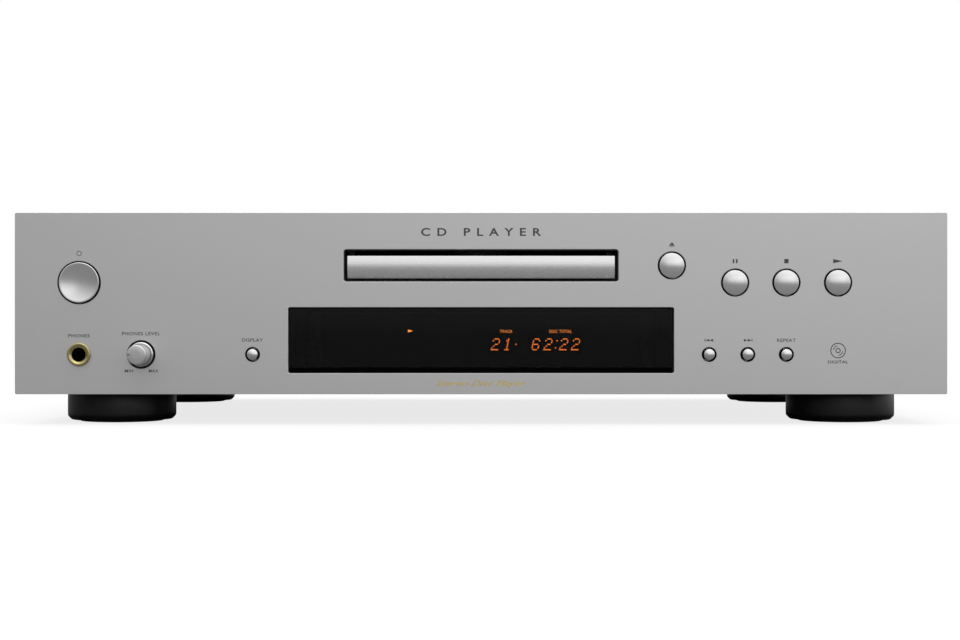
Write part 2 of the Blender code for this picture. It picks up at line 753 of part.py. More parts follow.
def tray():
    """The disc tray, open from the middle to the rear for the pickup, with a rack under its left edge."""
    front, middle, rear = at_depth(6.3 * MM), at_depth(142 * MM), at_depth(190 * MM)
    disc_y = at_depth(DISC_DEPTH)
    throat, rail = 20 * MM, 55 * MM
    nose = arc((0, disc_y), throat, 180, 360, 12)
    edge = [
        (-TRAY_X, front),
        (TRAY_X, front),
        (TRAY_X, rear),
        (rail, rear),
        (rail, middle),
        (throat, middle),
        *reversed(nose),
        (-throat, middle),
        (-rail, middle),
        (-rail, rear),
        (-TRAY_X, rear),
    ]
    plate = flat("disc_tray", [edge], TRAY_UNDER, TRAY_RIM, "black_plastic")
    gear_y = at_depth(GEAR_DEPTH)
    teeth = rack_outline(
        gear_y - 10 * MM, gear_y + TRAY_TRAVEL + 12 * MM, gear_y, RACK_PITCH_X, -59 * MM, DRIVE_MODULE
    )
    runners = [
        block(f"runner_{tag}", (low * MM, front, RAIL_BOTTOM), (high * MM, rear, TRAY_UNDER + MM))
        for tag, low, high in (("left", -62, -58.5), ("right", 58.5, 62))
    ]
    lip = block(
        "tray_lip", (-61.5 * MM, front, RAIL_BOTTOM), (61.5 * MM, front + 2 * MM, TRAY_RIM + MM)
    )
    rack = flat("tray_rack", [teeth], RAIL_BOTTOM, TRAY_UNDER + 0.5 * MM)
    join(plate, lip, rack, *runners)
    wells = [
        rod(f"well_{i}", (0, disc_y, floor), (0, disc_y, TRAY_RIM + 3 * MM), radius, steps=64)
        for i, (radius, floor) in enumerate(((DISC_WELL, 75.5 * MM), (SMALL_WELL, 74.7 * MM)))
    ]
    cut(plate, *wells)


def tray_front_cap():
    """The metal bar that closes the tray slot: a gentle bow in front and a bevel below."""
    half, back = 62.5 * MM, 5.9 * MM
    low, high, bevel = 68.1 * MM, 78.9 * MM, 1.5 * MM
    middle = (low + bevel + high) / 2
    reach = (high - low - bevel) / 2
    bow = [
        (at_depth(1.2 * MM + 0.7 * MM * (t / 3) ** 2), middle + reach * t / 3) for t in range(-3, 4)
    ]
    section = [(at_depth(back), low), (at_depth(back), high), *reversed(bow), (at_depth(3.2 * MM), low)]
    flat("tray_front_cap", [section], -half, half, "anodised", facing="X")


def clamper():
    """The bridge over the tray, and the puck that it carries above the turntable."""
    front, back = at_depth(60 * MM), at_depth(96 * MM)
    low, high, half = 84 * MM, 86 * MM, 68 * MM
    disc = (0, at_depth(DISC_DEPTH))
    bridge = flat(
        "clamper_bridge",
        [rounded((-half, front), (half, back)), circle(disc, 13 * MM, 28)],
        low,
        high,
        "zinc",
    )
    legs = [
        block(
            f"bridge_leg_{tag}",
            (min(side * WALL_IN, side * WALL_OUT), front, WALL_TOP + GAP),
            (max(side * WALL_IN, side * WALL_OUT), back, low + 0.5 * MM),
        )
        for tag, side in (("left", -1), ("right", 1))
    ]
    join(bridge, *legs)
    puck = [
        (0, 91.5 * MM),
        (16 * MM, 91.5 * MM),
        (16 * MM, high + GAP),
        (12.4 * MM, high + GAP),
        (12.4 * MM, low - GAP),
        (14.5 * MM, 83 * MM),
        (14.5 * MM, 80.1 * MM),
        (8.5 * MM, 80.1 * MM),
        (6 * MM, 82.3 * MM),
        (0, 82.3 * MM),
    ]
    middle = 86 * MM
    profile = [(radius, height - middle) for radius, height in puck]
    turned("clamp_puck", profile, (*disc, middle), "white_plastic", steps=24)


def drive_train():
    """Motor, belt and gears that move the tray."""
    gear_y = at_depth(GEAR_DEPTH)
    bore = circle((0, 0), 2.3 * MM, 12)
    flat(
        "drive_gear",
        [gear_outline(DRIVE_TEETH, DRIVE_MODULE), bore],
        62.6 * MM,
        73 * MM,
        "white_plastic",
        place=(GEAR_X, gear_y),
    )
    tooth_at = math.pi / PULLEY_TEETH
    pinion = flat(
        "pulley_gear",
        [gear_outline(PULLEY_TEETH, DRIVE_MODULE, tooth_at), bore],
        60 * MM,
        68.3 * MM,
        "white_plastic",
        place=(PULLEY_X, gear_y),
    )
    low, high = 58 * MM, 62.2 * MM
    groove = PULLEY_RADIUS - BELT_THICK / 2 - GAP
    sides = PULLEY_RADIUS + 0.2 * MM
    pulley = [
        (sides, high),
        (sides, high - 0.8 * MM),
        (groove, high - 1.4 * MM),
        (groove, low + 1.4 * MM),
        (sides, low + 0.8 * MM),
        (sides, low),
        (2.3 * MM, low),
        (2.3 * MM, high),
    ]
    wheel = turned("pulley_wheel", pulley, (PULLEY_X, gear_y, 0), steps=28)
    join(pinion, wheel)
    groove = MOTOR_PULLEY_RADIUS - BELT_THICK / 2 - GAP
    sides = MOTOR_PULLEY_RADIUS + 0.8 * MM
    small = [
        (0, high),
        (sides, high),
        (sides, high - 0.8 * MM),
        (groove, high - 1.4 * MM),
        (groove, low + 1.4 * MM),
        (sides, low + 0.8 * MM),
        (sides, low),
        (1 * MM, low),
        (1 * MM, 46 * MM),
        (0, 46 * MM),
    ]
    turned("motor_pulley", small, (MOTOR_X, gear_y, 0), "white_plastic", steps=12)
    motor(
        "loading_motor", (MOTOR_X, gear_y), 34 * MM, BASE_BOTTOM - GAP, 12 * MM, 1.4 * MM, 44 * MM
    )
    belt(gear_y)


def belt(gear_y):
    """A belt with two straight runs, as a ring between an outer and an inner outline."""
    span = MOTOR_X - PULLEY_X
    lean = math.degrees(math.acos((PULLEY_RADIUS - MOTOR_PULLEY_RADIUS) / span))

    def loop(offset):
        large = arc((PULLEY_X, gear_y), PULLEY_RADIUS + offset, lean, 360 - lean, 20)
        small = arc((MOTOR_X, gear_y), MOTOR_PULLEY_RADIUS + offset, -lean, lean, 6)
        return large + small

    half = BELT_THICK / 2
    middle = 60.1 * MM
    flat("drive_belt", [loop(half), loop(-half)], middle - half, middle + half, "rubber")


def motor(name, place, low, high, radius, bore, bore_end):
    """A round motor with an open bore at its top for the shaft."""
    edge = 0.6 * MM
    profile = [
        (0, bore_end),
        (bore, bore_end),
        (bore, high),
        (radius - edge, high),
        (radius, high - edge),
        (radius, low + edge),
        (radius - edge, low),
        (0, low),
    ]
    return turned(name, profile, (*place, 0), "steel", steps=20)


# ---------------------------------------------------------------- traverse


def hang(pivot, *objects):
    """Parents level-standing objects and their tools to the pivot, which then tilts them all."""
    for obj in objects:
        family = [obj]
        for modifier in obj.modifiers:
            if modifier.type == "BOOLEAN":
                family += list(modifier.collection.objects)
        for member in family:
            member.parent = pivot
            member.location -= pivot.location


def traverse():
    pivot = bpy.data.objects.new("traverse_pivot", None)
    pivot.location = PIVOT
    pivot.rotation_euler.x = LOWERED
    PARTS.objects.link(pivot)
    bpy.context.view_layer.update()
    hang(pivot, traverse_chassis(), spindle_motor(), turntable_hub(), *guide_rods())
    hang(pivot, pickup_sled(), pickup_lens(), *sled_drive())


def traverse_chassis():
    front, back = at_depth(57 * MM), at_depth(177 * MM)
    half = 38 * MM
    disc = (0, at_depth(DISC_DEPTH))
    pinion_hole = circle((SLED_GEAR_X, at_depth(PINION_DEPTH)), 2 * MM, 12)
    opening = rounded((-13 * MM, at_depth(91 * MM)), (13 * MM, at_depth(152 * MM)))
    plate = flat(
        "traverse_chassis",
        [rounded((-half, front), (half, back), 4 * MM), circle(disc, 5 * MM, 16), pinion_hole, opening],
        PLATE_BOTTOM,
        PLATE_TOP,
        "grey_plastic",
    )
    wall = 2 * MM
    skirt = flat(
        "traverse_skirt",
        [
            rounded((-half, front), (half, back), 4 * MM),
            rounded((-half + wall, front + wall), (half - wall, back - wall), 2 * MM),
        ],
        PLATE_BOTTOM - 3.5 * MM,
        PLATE_BOTTOM + MM,
    )
    added = [
        skirt,
        rod("pivot_left", (-46 * MM, PIVOT.y, PIVOT.z), (-30 * MM, PIVOT.y, PIVOT.z), 2 * MM, steps=12),
        rod("pivot_right", (30 * MM, PIVOT.y, PIVOT.z), (46 * MM, PIVOT.y, PIVOT.z), 2 * MM, steps=12),
        rod("cam_pin", (0, at_depth(49.8 * MM), PIN_Z), (0, front + MM, PIN_Z), PIN_RADIUS, steps=12),
        rod(
            "gear_post",
            (SLED_GEAR_X, at_depth(SLED_GEAR_DEPTH), PLATE_TOP - MM),
            (SLED_GEAR_X, at_depth(SLED_GEAR_DEPTH), 68 * MM),
            1 * MM,
            steps=8,
        ),
        block(
            "pivot_beam",
            (-half, PIVOT.y - 5 * MM, PLATE_BOTTOM - 3.5 * MM),
            (half, PIVOT.y + 3 * MM, PLATE_TOP),
        ),
    ]
    bores = []
    for tag, x in (("left", -ROD_X), ("right", ROD_X)):
        for i, depth in enumerate((83.5 * MM, 157 * MM)):
            low = (x - 1.7 * MM, at_depth(depth), PLATE_TOP - MM)
            high = (x + 1.7 * MM, at_depth(depth + 3 * MM), ROD_Z)
            added.append(block(f"rod_post_{tag}_{i}", low, high))
        ends = (x, at_depth(82 * MM), ROD_Z), (x, at_depth(162 * MM), ROD_Z)
        bores.append(rod(f"rod_seat_{tag}", *ends, ROD_RADIUS + GAP))
    join(plate, *added)
    return cut(plate, *bores)


def spindle_motor():
    disc = (0, at_depth(DISC_DEPTH))
    return motor(
        "spindle_motor", disc, 52 * MM, PLATE_BOTTOM - GAP, 12 * MM, 1.6 * MM, 53.2 * MM
    )


def turntable_hub():
    heights = [
        (0, 80 * MM),
        (5 * MM, 80 * MM),
        (7.3 * MM, 78.7 * MM),
        (7.4 * MM, 78.5 * MM),
        (15 * MM, 78.5 * MM),
        (15 * MM, 75.7 * MM),
        (4 * MM, 75.7 * MM),
        (4 * MM, 62.6 * MM),
        (1.2 * MM, 62.6 * MM),
        (1.2 * MM, 54 * MM),
        (0, 54 * MM),
    ]
    middle = 76 * MM
    profile = [(radius, height - middle) for radius, height in heights]
    place = (0, at_depth(DISC_DEPTH), middle)
    return turned("turntable_hub", profile, place, "black_plastic", steps=24)


def guide_rods():
    return [
        rod(
            f"guide_rod_{tag}",
            (x, at_depth(82.5 * MM), ROD_Z),
            (x, at_depth(161 * MM), ROD_Z),
            ROD_RADIUS,
            "steel",
            steps=12,
        )
        for tag, x in (("left", -ROD_X), ("right", ROD_X))
    ]


def pickup_sled():
    """The carriage that slides on the rods, with the laser unit below it and a rack at its left."""
    low, high, half = 64.9 * MM, 70.1 * MM, 20 * MM
    bores = [circle((x, ROD_Z), ROD_RADIUS + 0.35 * MM, 12) for x in (-ROD_X, ROD_X)]
    start, end = at_depth(SLED_START), at_depth(SLED_START + SLED_LENGTH)
    sled = flat(
        "pickup_sled",
        [rounded((-half, low), (half, high))] + bores,
        start,
        end,
        "black_plastic",
        facing="Y",
    )
    gear_y = at_depth(SLED_GEAR_DEPTH)
    teeth = rack_outline(
        at_depth(84 * MM), at_depth(129.5 * MM), gear_y, SLED_RACK_X, -19.2 * MM, SLED_MODULE
    )
    rack = flat("sled_rack", [teeth], 65.3 * MM, 68.3 * MM)
    unit = block(
        "laser_unit", (-11 * MM, at_depth(92.5 * MM), 57 * MM), (11 * MM, at_depth(114 * MM), low + MM)
    )
    holder = block(
        "lens_holder",
        (-7 * MM, at_depth(95.5 * MM), high - MM),
        (7 * MM, at_depth(109 * MM), 74.4 * MM),
    )
    return join(sled, rack, unit, holder)


def pickup_lens():
    profile = [
        (0, 76.7 * MM),
        (2 * MM, 76.4 * MM),
        (3.3 * MM, 75.6 * MM),
        (3.8 * MM, 75.4 * MM),
        (3.8 * MM, 74.7 * MM),
        (0, 74.7 * MM),
    ]
    return turned("pickup_lens", profile, (0, at_depth(102 * MM), 0), "lens", steps=16)


def sled_drive():
    """Motor, pinion and stepped gear that move the sled."""
    gear = (SLED_GEAR_X, at_depth(SLED_GEAR_DEPTH))
    bore = circle((0, 0), 1.3 * MM, 8)
    spur = flat(
        "sled_gear",
        [gear_outline(SPUR_TEETH, SPUR_MODULE, math.radians(90)), bore],
        62.4 * MM,
        64.5 * MM,
        "white_plastic",
        place=gear,
    )
    step = flat(
        "sled_step", [gear_outline(SLED_TEETH, SLED_MODULE), bore], 64.2 * MM, 68.3 * MM, place=gear
    )
    join(spur, step)
    place = (SLED_GEAR_X, at_depth(PINION_DEPTH))
    tooth_at = math.radians(270) + math.pi / PINION_TEETH
    pinion = flat(
        "sled_pinion",
        [gear_outline(PINION_TEETH, SPUR_MODULE, tooth_at)],
        62.4 * MM,
        64.5 * MM,
        "white_plastic",
        place=place,
    )
    join(pinion, rod("pinion_shaft", (*place, 52 * MM), (*place, 63 * MM), 0.8 * MM, steps=8))
    body = motor("sled_motor", place, 45 * MM, PLATE_BOTTOM - GAP, 8 * MM, 1.2 * MM, 50 * MM)
    return spur, pinion, body


def cam_slider():
    """The plate whose sloping slot lifts the traverse by its front pin."""
    reach = PIVOT.y - at_depth(CAM_DEPTH + CAM_THICK / 2)
    rise = PIN_Z - PIVOT.z
    low = PIVOT.z - reach * math.sin(LOWERED) + rise * math.cos(LOWERED)
    slot = capsule((-CAM_TRAVEL, PIN_Z), (0, low), PIN_RADIUS + 0.45 * MM)
    edge = rounded((-32 * MM, 46 * MM), (9 * MM, 67 * MM), 2 * MM)
    flat(
        "cam_slider",
        [edge, slot],
        at_depth(CAM_DEPTH),
        at_depth(CAM_DEPTH + CAM_THICK),
        "white_plastic",
        facing="Y",
    )


# ---------------------------------------------------------------- electronics and sockets


def transformer():
    """A laminated core with two windows, and the winding round its middle leg."""
    x, y = -150 * MM, at_depth(105 * MM)
    half, leg, deep, gap = 33 * MM, 11 * MM, 16 * MM, GAP
    low, high, yoke = FLOOR_TOP + GAP, 73 * MM, 11 * MM
    core = block(
        "power_transformer",
        (x - half, y - deep, low + 0.5 * MM),
        (x + half, y + deep, high),
        "varnished_core",
    )
    windows = [
        block(
            f"core_window_{tag}",
            (x + start, y - deep - MM, low + yoke),
            (x + end, y + deep + MM, high - yoke),
        )
        for tag, start, end in (("left", -half + leg, -leg), ("right", leg, half - leg))
    ]
    step = 1 * MM
    feet_plate = block(
        "core_feet", (x - 42 * MM, y - deep + step, low), (x + 42 * MM, y + deep - step, low + 1.5 * MM)
    )
    join(core, feet_plate)
    cut(core, *windows)
    outer = 27 * MM
    ring = [
        rounded((x - half + leg + gap, y - outer), (x + half - leg - gap, y + outer)),
        rounded((x - leg - gap, y - deep - gap), (x + leg + gap, y + deep + gap)),
    ]
    flat("transformer_coil", ring, low + yoke + gap, high - yoke - gap, "winding_tape")


def populated_board(name, low, high, boxes, cans):
    """A board on four posts, with its square and round components."""
    level = 27 * MM
    top = level + BOARD_THICK
    board = block(name, (*low, level), (*high, top), "circuit_board")
    added = []
    inset = 6 * MM
    corners = [(low[0] + inset, low[1] + inset), (high[0] - inset, high[1] - inset)]
    corners += [(low[0] + inset, high[1] - inset), (high[0] - inset, low[1] + inset)]
    for i, corner in enumerate(corners):
        post = (*corner, FLOOR_TOP + GAP), (*corner, level + 0.5 * MM)
        added.append(rod(f"{name}_post_{i}", *post, 3 * MM, steps=8))
    for i, (x, y, wide, deep, tall) in enumerate(boxes):
        corner = (x - wide / 2, y - deep / 2, level + MM)
        added.append(
            block(f"{name}_chip_{i}", corner, (corner[0] + wide, corner[1] + deep, top + tall))
        )
    for i, (x, y, radius, tall) in enumerate(cans):
        added.append(rod(f"{name}_can_{i}", (x, y, level + MM), (x, y, top + tall), radius, steps=12))
    join(board, *added)


def boards():
    chips = [(140, 0, 22, 22, 3), (120, 60, 10, 18, 3), (165, 60, 10, 18, 3), (110, -40, 30, 14, 5)]
    cans = [(100, 90, 5, 16), (185, 90, 5, 16), (185, 20, 4, 12), (100, 30, 4, 12)]
    populated_board(
        "main_circuit_board",
        (82 * MM, at_depth(65 * MM)),
        (205 * MM, REAR_Y - 20 * MM),
        [[MM * v for v in row] for row in chips],
        [[MM * v for v in row] for row in cans],
    )
    rectifiers = [(-115, 105, 22, 10, 12), (-190, 40, 12, 20, 8)]
    filters = [(-190, 78, 9, 32), (-168, 78, 9, 32), (-100, 45, 6, 20)]
    populated_board(
        "power_supply_board",
        (-206 * MM, at_depth(170 * MM)),
        (-88 * MM, REAR_Y - 22 * MM),
        [[MM * v for v in row] for row in rectifiers],
        [[MM * v for v in row] for row in filters],
    )


def heatsink():
    """An extruded sink with seven fins, standing on the supply board."""
    x, y = -138 * MM, at_depth(215 * MM)
    back, fin, spacing, reach = 3 * MM, 1.6 * MM, 5.6 * MM, 20 * MM
    outline = [(x, y)]
    for i in range(7):
        start = x + i * spacing
        if i:
            outline.append((start, y + back))
        else:
            outline[0] = (start, y)
        outline += [(start, y + reach), (start + fin, y + reach)]
        if i < 6:
            outline.append((start + fin, y + back))
    outline.append((x + 6 * spacing + fin, y))
    base = 27 * MM + BOARD_THICK + GAP
    flat("heatsink", [outline], base, 66 * MM, "anodised")


def inlet():
    """The two-pin mains inlet: a flange outside the rear panel, a socket with two pins, a body inside."""
    x, z = INLET_X, SOCKET_Z
    socket = capsule((x - 4.3 * MM, z), (x + 4.3 * MM, z), 4.4 * MM)
    face, floor, back = REAR_Y + GAP + 2 * MM, REAR_Y - 10.5 * MM, REAR_Y - 16 * MM
    body = flat(
        "ac_inlet",
        [rounded((x - 10 * MM, z - 6 * MM), (x + 10 * MM, z + 6 * MM), 2.7 * MM, 2), socket],
        floor - MM,
        REAR_Y + MM,
        "black_plastic",
        facing="Y",
    )
    flange = flat(
        "inlet_flange",
        [rounded((x - 13 * MM, z - 9 * MM), (x + 13 * MM, z + 9 * MM), 2 * MM, 2), socket],
        REAR_Y + GAP,
        face,
        facing="Y",
    )
    rear = block(
        "inlet_back", (x - 9.5 * MM, back, z - 5.5 * MM), (x + 9.5 * MM, floor, z + 5.5 * MM)
    )
    pins = [
        rod(
            f"inlet_pin_{tag}",
            (x + side * 4.3 * MM, floor - MM, z),
            (x + side * 4.3 * MM, REAR_Y - MM, z),
            1.2 * MM,
            steps=12,
        )
        for tag, side in (("left", -1), ("right", 1))
    ]
    join(body, flange, rear, *pins)


def rca_pieces(tag, x):
    """One phono socket as a tool to join: a collar outside the panel and a metal tube."""
    collar, root, reach = 6.4 * MM, 3 * MM, SOCKET_REACH
    profile = [
        (RCA_BORE, root),
        (RCA_RADIUS, root),
        (RCA_RADIUS, -GAP),
        (collar, -GAP),
        (collar, -2 * MM),
        (collar - 0.4 * MM, -2.4 * MM),
        (RCA_RADIUS, -2.4 * MM),
        (RCA_RADIUS, -reach + 0.3 * MM),
        (RCA_RADIUS - 0.3 * MM, -reach),
        (RCA_BORE + 0.6 * MM, -reach),
        (RCA_BORE, -reach + 0.4 * MM),
    ]
    return turned(f"rca_{tag}", profile, (x, REAR_Y, SOCKET_Z), facing="Y", steps=16)


def output_jacks():
    z, back = SOCKET_Z, REAR_Y - 1.2 * MM - GAP
    housing = block(
        "analog_output_jacks",
        (ANALOG_X[0] - 9 * MM, back - 12 * MM, z - 7 * MM),
        (ANALOG_X[1] + 9 * MM, back, z + 7 * MM),
        "black_plastic",
    )
    join(housing, *(rca_pieces(f"analog_{i}", x) for i, x in enumerate(ANALOG_X)))
    digital = block(
        "digital_output_jacks",
        (OPTICAL_X - 8 * MM, back - 12 * MM, z - 7 * MM),
        (COAXIAL_X + 9 * MM, back, z + 7 * MM),
        "black_plastic",
    )
    shutter = flat(
        "optical_frame",
        [
            rounded((OPTICAL_X - 5 * MM, z - 5 * MM), (OPTICAL_X + 5 * MM, z + 5 * MM)),
            rounded((OPTICAL_X - 3 * MM, z - 3 * MM), (OPTICAL_X + 3 * MM, z + 3 * MM)),
        ],
        back - MM,
        REAR_Y + 1.2 * MM,
        facing="Y",
    )
    join(digital, rca_pieces("coaxial", COAXIAL_X), shutter)
    remote = [
        (0, 14 * MM),
        (5 * MM, 14 * MM),
        (5 * MM, 1.5 * MM),
        (3.5 * MM, 1.5 * MM),
        (3.5 * MM, -2 * MM),
        (1.8 * MM, -2 * MM),
        (1.8 * MM, 12 * MM),
        (0, 12 * MM),
    ]
    turned("remote_jack", remote, (REMOTE_X, REAR_Y, z), "black_plastic", facing="Y", steps=12)


def build():
    front_panel()
    front_frame()
    display_window()
    chassis_base()
    rear_panel()
    top_cover()
    feet()
    buttons()
    level_control()
    phones_jack()
    power_switch()
    display_and_board()
    loader_frame()
    tray()
    tray_front_cap()
    clamper()
    drive_train()
    cam_slider()
    traverse()
    transformer()
    boards()
    heatsink()
    inlet()
    output_jacks()


clear_scene()
PARTS = new_collection("compact_disc_player")
TOOLS = new_collection("cutters", hidden=True)
build()
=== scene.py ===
# %% [markdown]
# # A compact disc player
#
# This lesson dresses a full-width compact disc player. Its mechanical model is made already: it comes in as a
# frame of named parts, each riding on a body that can slide, press or turn. The lesson gives that frame its looks.
# First come the camera and the light, then the finishes, then the pieces that a viewer sees, remade with soft
# edges and fine detail, and last the printing, the screws and the sockets.

# %% Load the frame
import json
import math

import bmesh
import bpy
from mathutils import Matrix, Vector

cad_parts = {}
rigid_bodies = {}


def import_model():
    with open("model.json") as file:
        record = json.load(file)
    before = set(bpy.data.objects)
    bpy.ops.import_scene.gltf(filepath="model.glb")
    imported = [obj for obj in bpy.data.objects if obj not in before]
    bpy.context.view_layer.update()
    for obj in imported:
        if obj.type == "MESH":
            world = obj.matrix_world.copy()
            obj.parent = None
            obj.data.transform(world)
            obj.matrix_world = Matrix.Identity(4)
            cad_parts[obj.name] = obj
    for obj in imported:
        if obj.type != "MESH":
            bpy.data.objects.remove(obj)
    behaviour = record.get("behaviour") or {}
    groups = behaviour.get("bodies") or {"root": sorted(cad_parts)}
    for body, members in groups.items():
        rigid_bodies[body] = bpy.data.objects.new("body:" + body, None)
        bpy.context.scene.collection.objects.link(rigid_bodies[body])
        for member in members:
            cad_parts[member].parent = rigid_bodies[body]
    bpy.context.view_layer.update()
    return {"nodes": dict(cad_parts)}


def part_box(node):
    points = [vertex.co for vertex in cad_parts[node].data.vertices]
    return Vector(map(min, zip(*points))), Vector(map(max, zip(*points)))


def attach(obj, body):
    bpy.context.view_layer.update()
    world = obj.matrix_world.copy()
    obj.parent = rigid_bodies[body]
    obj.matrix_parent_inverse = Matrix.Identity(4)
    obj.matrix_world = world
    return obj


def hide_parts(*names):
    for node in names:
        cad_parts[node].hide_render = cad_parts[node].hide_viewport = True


for leftover in list(bpy.data.objects):
    bpy.data.objects.remove(leftover)
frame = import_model()
nodes = frame["nodes"]
MM = 0.001


def mm(*values):
    """Lengths given in millimetres, in metres."""
    return tuple(value * MM for value in values)


# %% [markdown]
# Everything on the front is measured from one plane, the face of the metal panel. A part's place comes from its
# box in the frame, so that nothing has to be fitted by eye later.

# %% Planes and middles
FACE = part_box("front_panel")[0].y


def middle(node):
    """The middle of a part's box."""
    low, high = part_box(node)
    return (low + high) / 2


def on_face(node, reach=0.0):
    """The point in front of a part's middle that stands out from the panel's face by reach."""
    centre = middle(node)
    return Vector((centre.x, FACE - reach, centre.z))


panel_middle = middle("front_panel")
print("panel face at y =", round(FACE / MM, 1), "mm")

# %% [markdown]
# ## Camera
#
# A product picture of audio gear is usually taken from far away with a long lens, level with the middle of the
# front, so that the panel stays a true rectangle. A nearer camera shows a little of the rear feet under the front
# edge, which tells how deep the case is. This one stands 0.86 m in front of the panel.

# %% Camera
CAMERA_DISTANCE, CAMERA_X, CAMERA_HEIGHT = 860 * MM, -0.5 * MM, 48.85 * MM
bpy.ops.object.camera_add(
    location=(CAMERA_X, FACE - CAMERA_DISTANCE, CAMERA_HEIGHT), rotation=(math.pi / 2, 0, 0)
)
camera = bpy.context.object
camera.name = "portrait_camera"
camera.data.sensor_width = 36
camera.data.lens = 69.15
bpy.context.scene.camera = camera

# %% [markdown]
# ## Light
#
# Satin metal shows whatever is around it, blurred, so lighting it means choosing what it mirrors. Here the room
# itself is the main light: it brightens smoothly from a dim floor to a bright ceiling, and a little towards the
# right, so that each domed button shades from a bright top to a darker foot. The camera alone sees plain white
# behind the player, as in a studio with a white backdrop.
#
# A world and a material are both trees of nodes. Two helpers keep every tree in this lesson short: one adds a node,
# the other draws the wires.

# %% Nodes and wires


def add_node(tree, kind, values=None, **settings):
    """A new shader node in a tree, with its settings first and then the values of its inputs."""
    node = tree.nodes.new(f"ShaderNode{kind}")
    for setting, value in settings.items():
        setattr(node, setting, value)
    for socket, value in (values or {}).items():
        node.inputs[socket].default_value = value
    return node


def wire(tree, *links):
    """Links nodes. Each link is (node, its output, next node, its input)."""
    for source, output, target, socket in links:
        tree.links.new(source.outputs[output], target.inputs[socket])


# %% World
WHITE = (1, 1, 1, 1)
world = bpy.data.worlds.new("studio")
bpy.context.scene.world = world
world.use_nodes = True
sky = world.node_tree
sky.nodes.clear()
direction = add_node(sky, "TexCoord")
upward = add_node(sky, "VectorMath", {1: (0.30, 0.0, 1.0)}, operation="DOT_PRODUCT")
brightness = add_node(
    sky, "MapRange", {"From Min": -0.50, "From Max": 0.85, "To Min": 0.06, "To Max": 1.28},
    interpolation_type="SMOOTHSTEP",
)
room = add_node(sky, "Background", {"Color": WHITE})
backdrop = add_node(sky, "Background", {"Color": WHITE})
ray = add_node(sky, "LightPath")
choose = add_node(sky, "MixShader")
wire(
    sky,
    (direction, "Generated", upward, 0),
    (upward, "Value", brightness, "Value"),
    (brightness, "Result", room, "Strength"),
    (ray, "Is Camera Ray", choose, "Fac"),
    (room, 0, choose, 1),
    (backdrop, 0, choose, 2),
    (choose, 0, add_node(sky, "OutputWorld"), "Surface"),
)
bpy.context.scene.view_settings.view_transform = "Standard"

# %% [markdown]
# Three soft lamps add shape to that: one above, whose soft shadow sets the player on the floor, a broad low one
# over the camera that lifts the middle and the right of the panel, and one behind that lights the cover and the
# sockets. The low one hangs just high enough to stay out of the window's mirror image.

# %% Softboxes


def softbox(name, place, size, watts):
    """A rectangular lamp at place that faces the middle of the front panel."""
    aim = (panel_middle - Vector(place)).to_track_quat("-Z", "Y").to_euler()
    bpy.ops.object.light_add(type="AREA", location=place, rotation=aim)
    lamp = bpy.context.object
    lamp.name = name
    lamp.data.shape = "RECTANGLE"
    lamp.data.size, lamp.data.size_y = size
    lamp.data.energy = watts
    return lamp


softbox("overhead_softbox", (0.2, -0.35, 1.5), (1.8, 1.2), 7)
softbox("front_softbox", (0.40, -1.80, 0.42), (1.7, 0.5), 0.95)
softbox("back_softbox", (-0.3, 1.1, 1.2), (1.4, 0.8), 7)

# %% [markdown]
# ## Floor
#
# The player stands on a plain pale floor, so large that its edge is never seen. Where the camera looks at it, most
# of its brightness is its own, which keeps it even all the way to the horizon and leaves only a soft contact
# shadow. In the reflections it is a quiet grey.

# %% Floor
bpy.ops.mesh.primitive_circle_add(vertices=96, radius=14, fill_type="NGON", location=(0, 0, 0))
floor = bpy.context.object
floor.name = "studio_floor"
pale = bpy.data.materials.new("pale_floor")
pale.use_nodes = True
ground = pale.node_tree


def matt(grey):
    """A dull grey surface."""
    return add_node(ground, "BsdfDiffuse", {"Color": (grey, grey, grey, 1)})


def mixed(share, first, second):
    """A mix of two shaders."""
    mix = add_node(ground, "MixShader", {"Fac": share})
    wire(ground, (first, 0, mix, 1), (second, 0, mix, 2))
    return mix


seen = mixed(0.80, matt(0.88), add_node(ground, "Emission"))
either = mixed(0.5, matt(0.19), seen)
wire(
    ground,
    (add_node(ground, "LightPath"), "Is Camera Ray", either, "Fac"),
    (either, 0, ground.nodes["Material Output"], "Surface"),
)
floor.data.materials.append(pale)


# %% [markdown]
# ## Finishes
#
# No surface of a real appliance is one flat colour. Anodised metal is blasted first, so it has a fine grain;
# moulded plastic has a pebbled skin; sheet steel carries zinc flakes or a skin of paint. Each of those effects is
# built once, as a node group with named inputs, and every finish places it with its own values. The patterns are
# worked out from a point's own place on the object, so they stay put when a part moves.

# %% A helper for node groups


def effect(name, inputs, outputs):
    """An empty shader node group. Inputs and outputs are lists of (name, kind)."""
    group = bpy.data.node_groups.new(name, "ShaderNodeTree")
    for side, sockets in (("INPUT", inputs), ("OUTPUT", outputs)):
        for label, kind in sockets:
            group.interface.new_socket(label, in_out=side, socket_type=f"NodeSocket{kind}")
    return group, group.nodes.new("NodeGroupInput"), group.nodes.new("NodeGroupOutput")


# %% [markdown]
# The first effect is grain: a fine noise that makes the surface a little rougher here and smoother there, and that
# also serves as a height for bump. Stretch squeezes the pattern across one direction, which turns round grains
# into the hairlines of a brushed sheet.

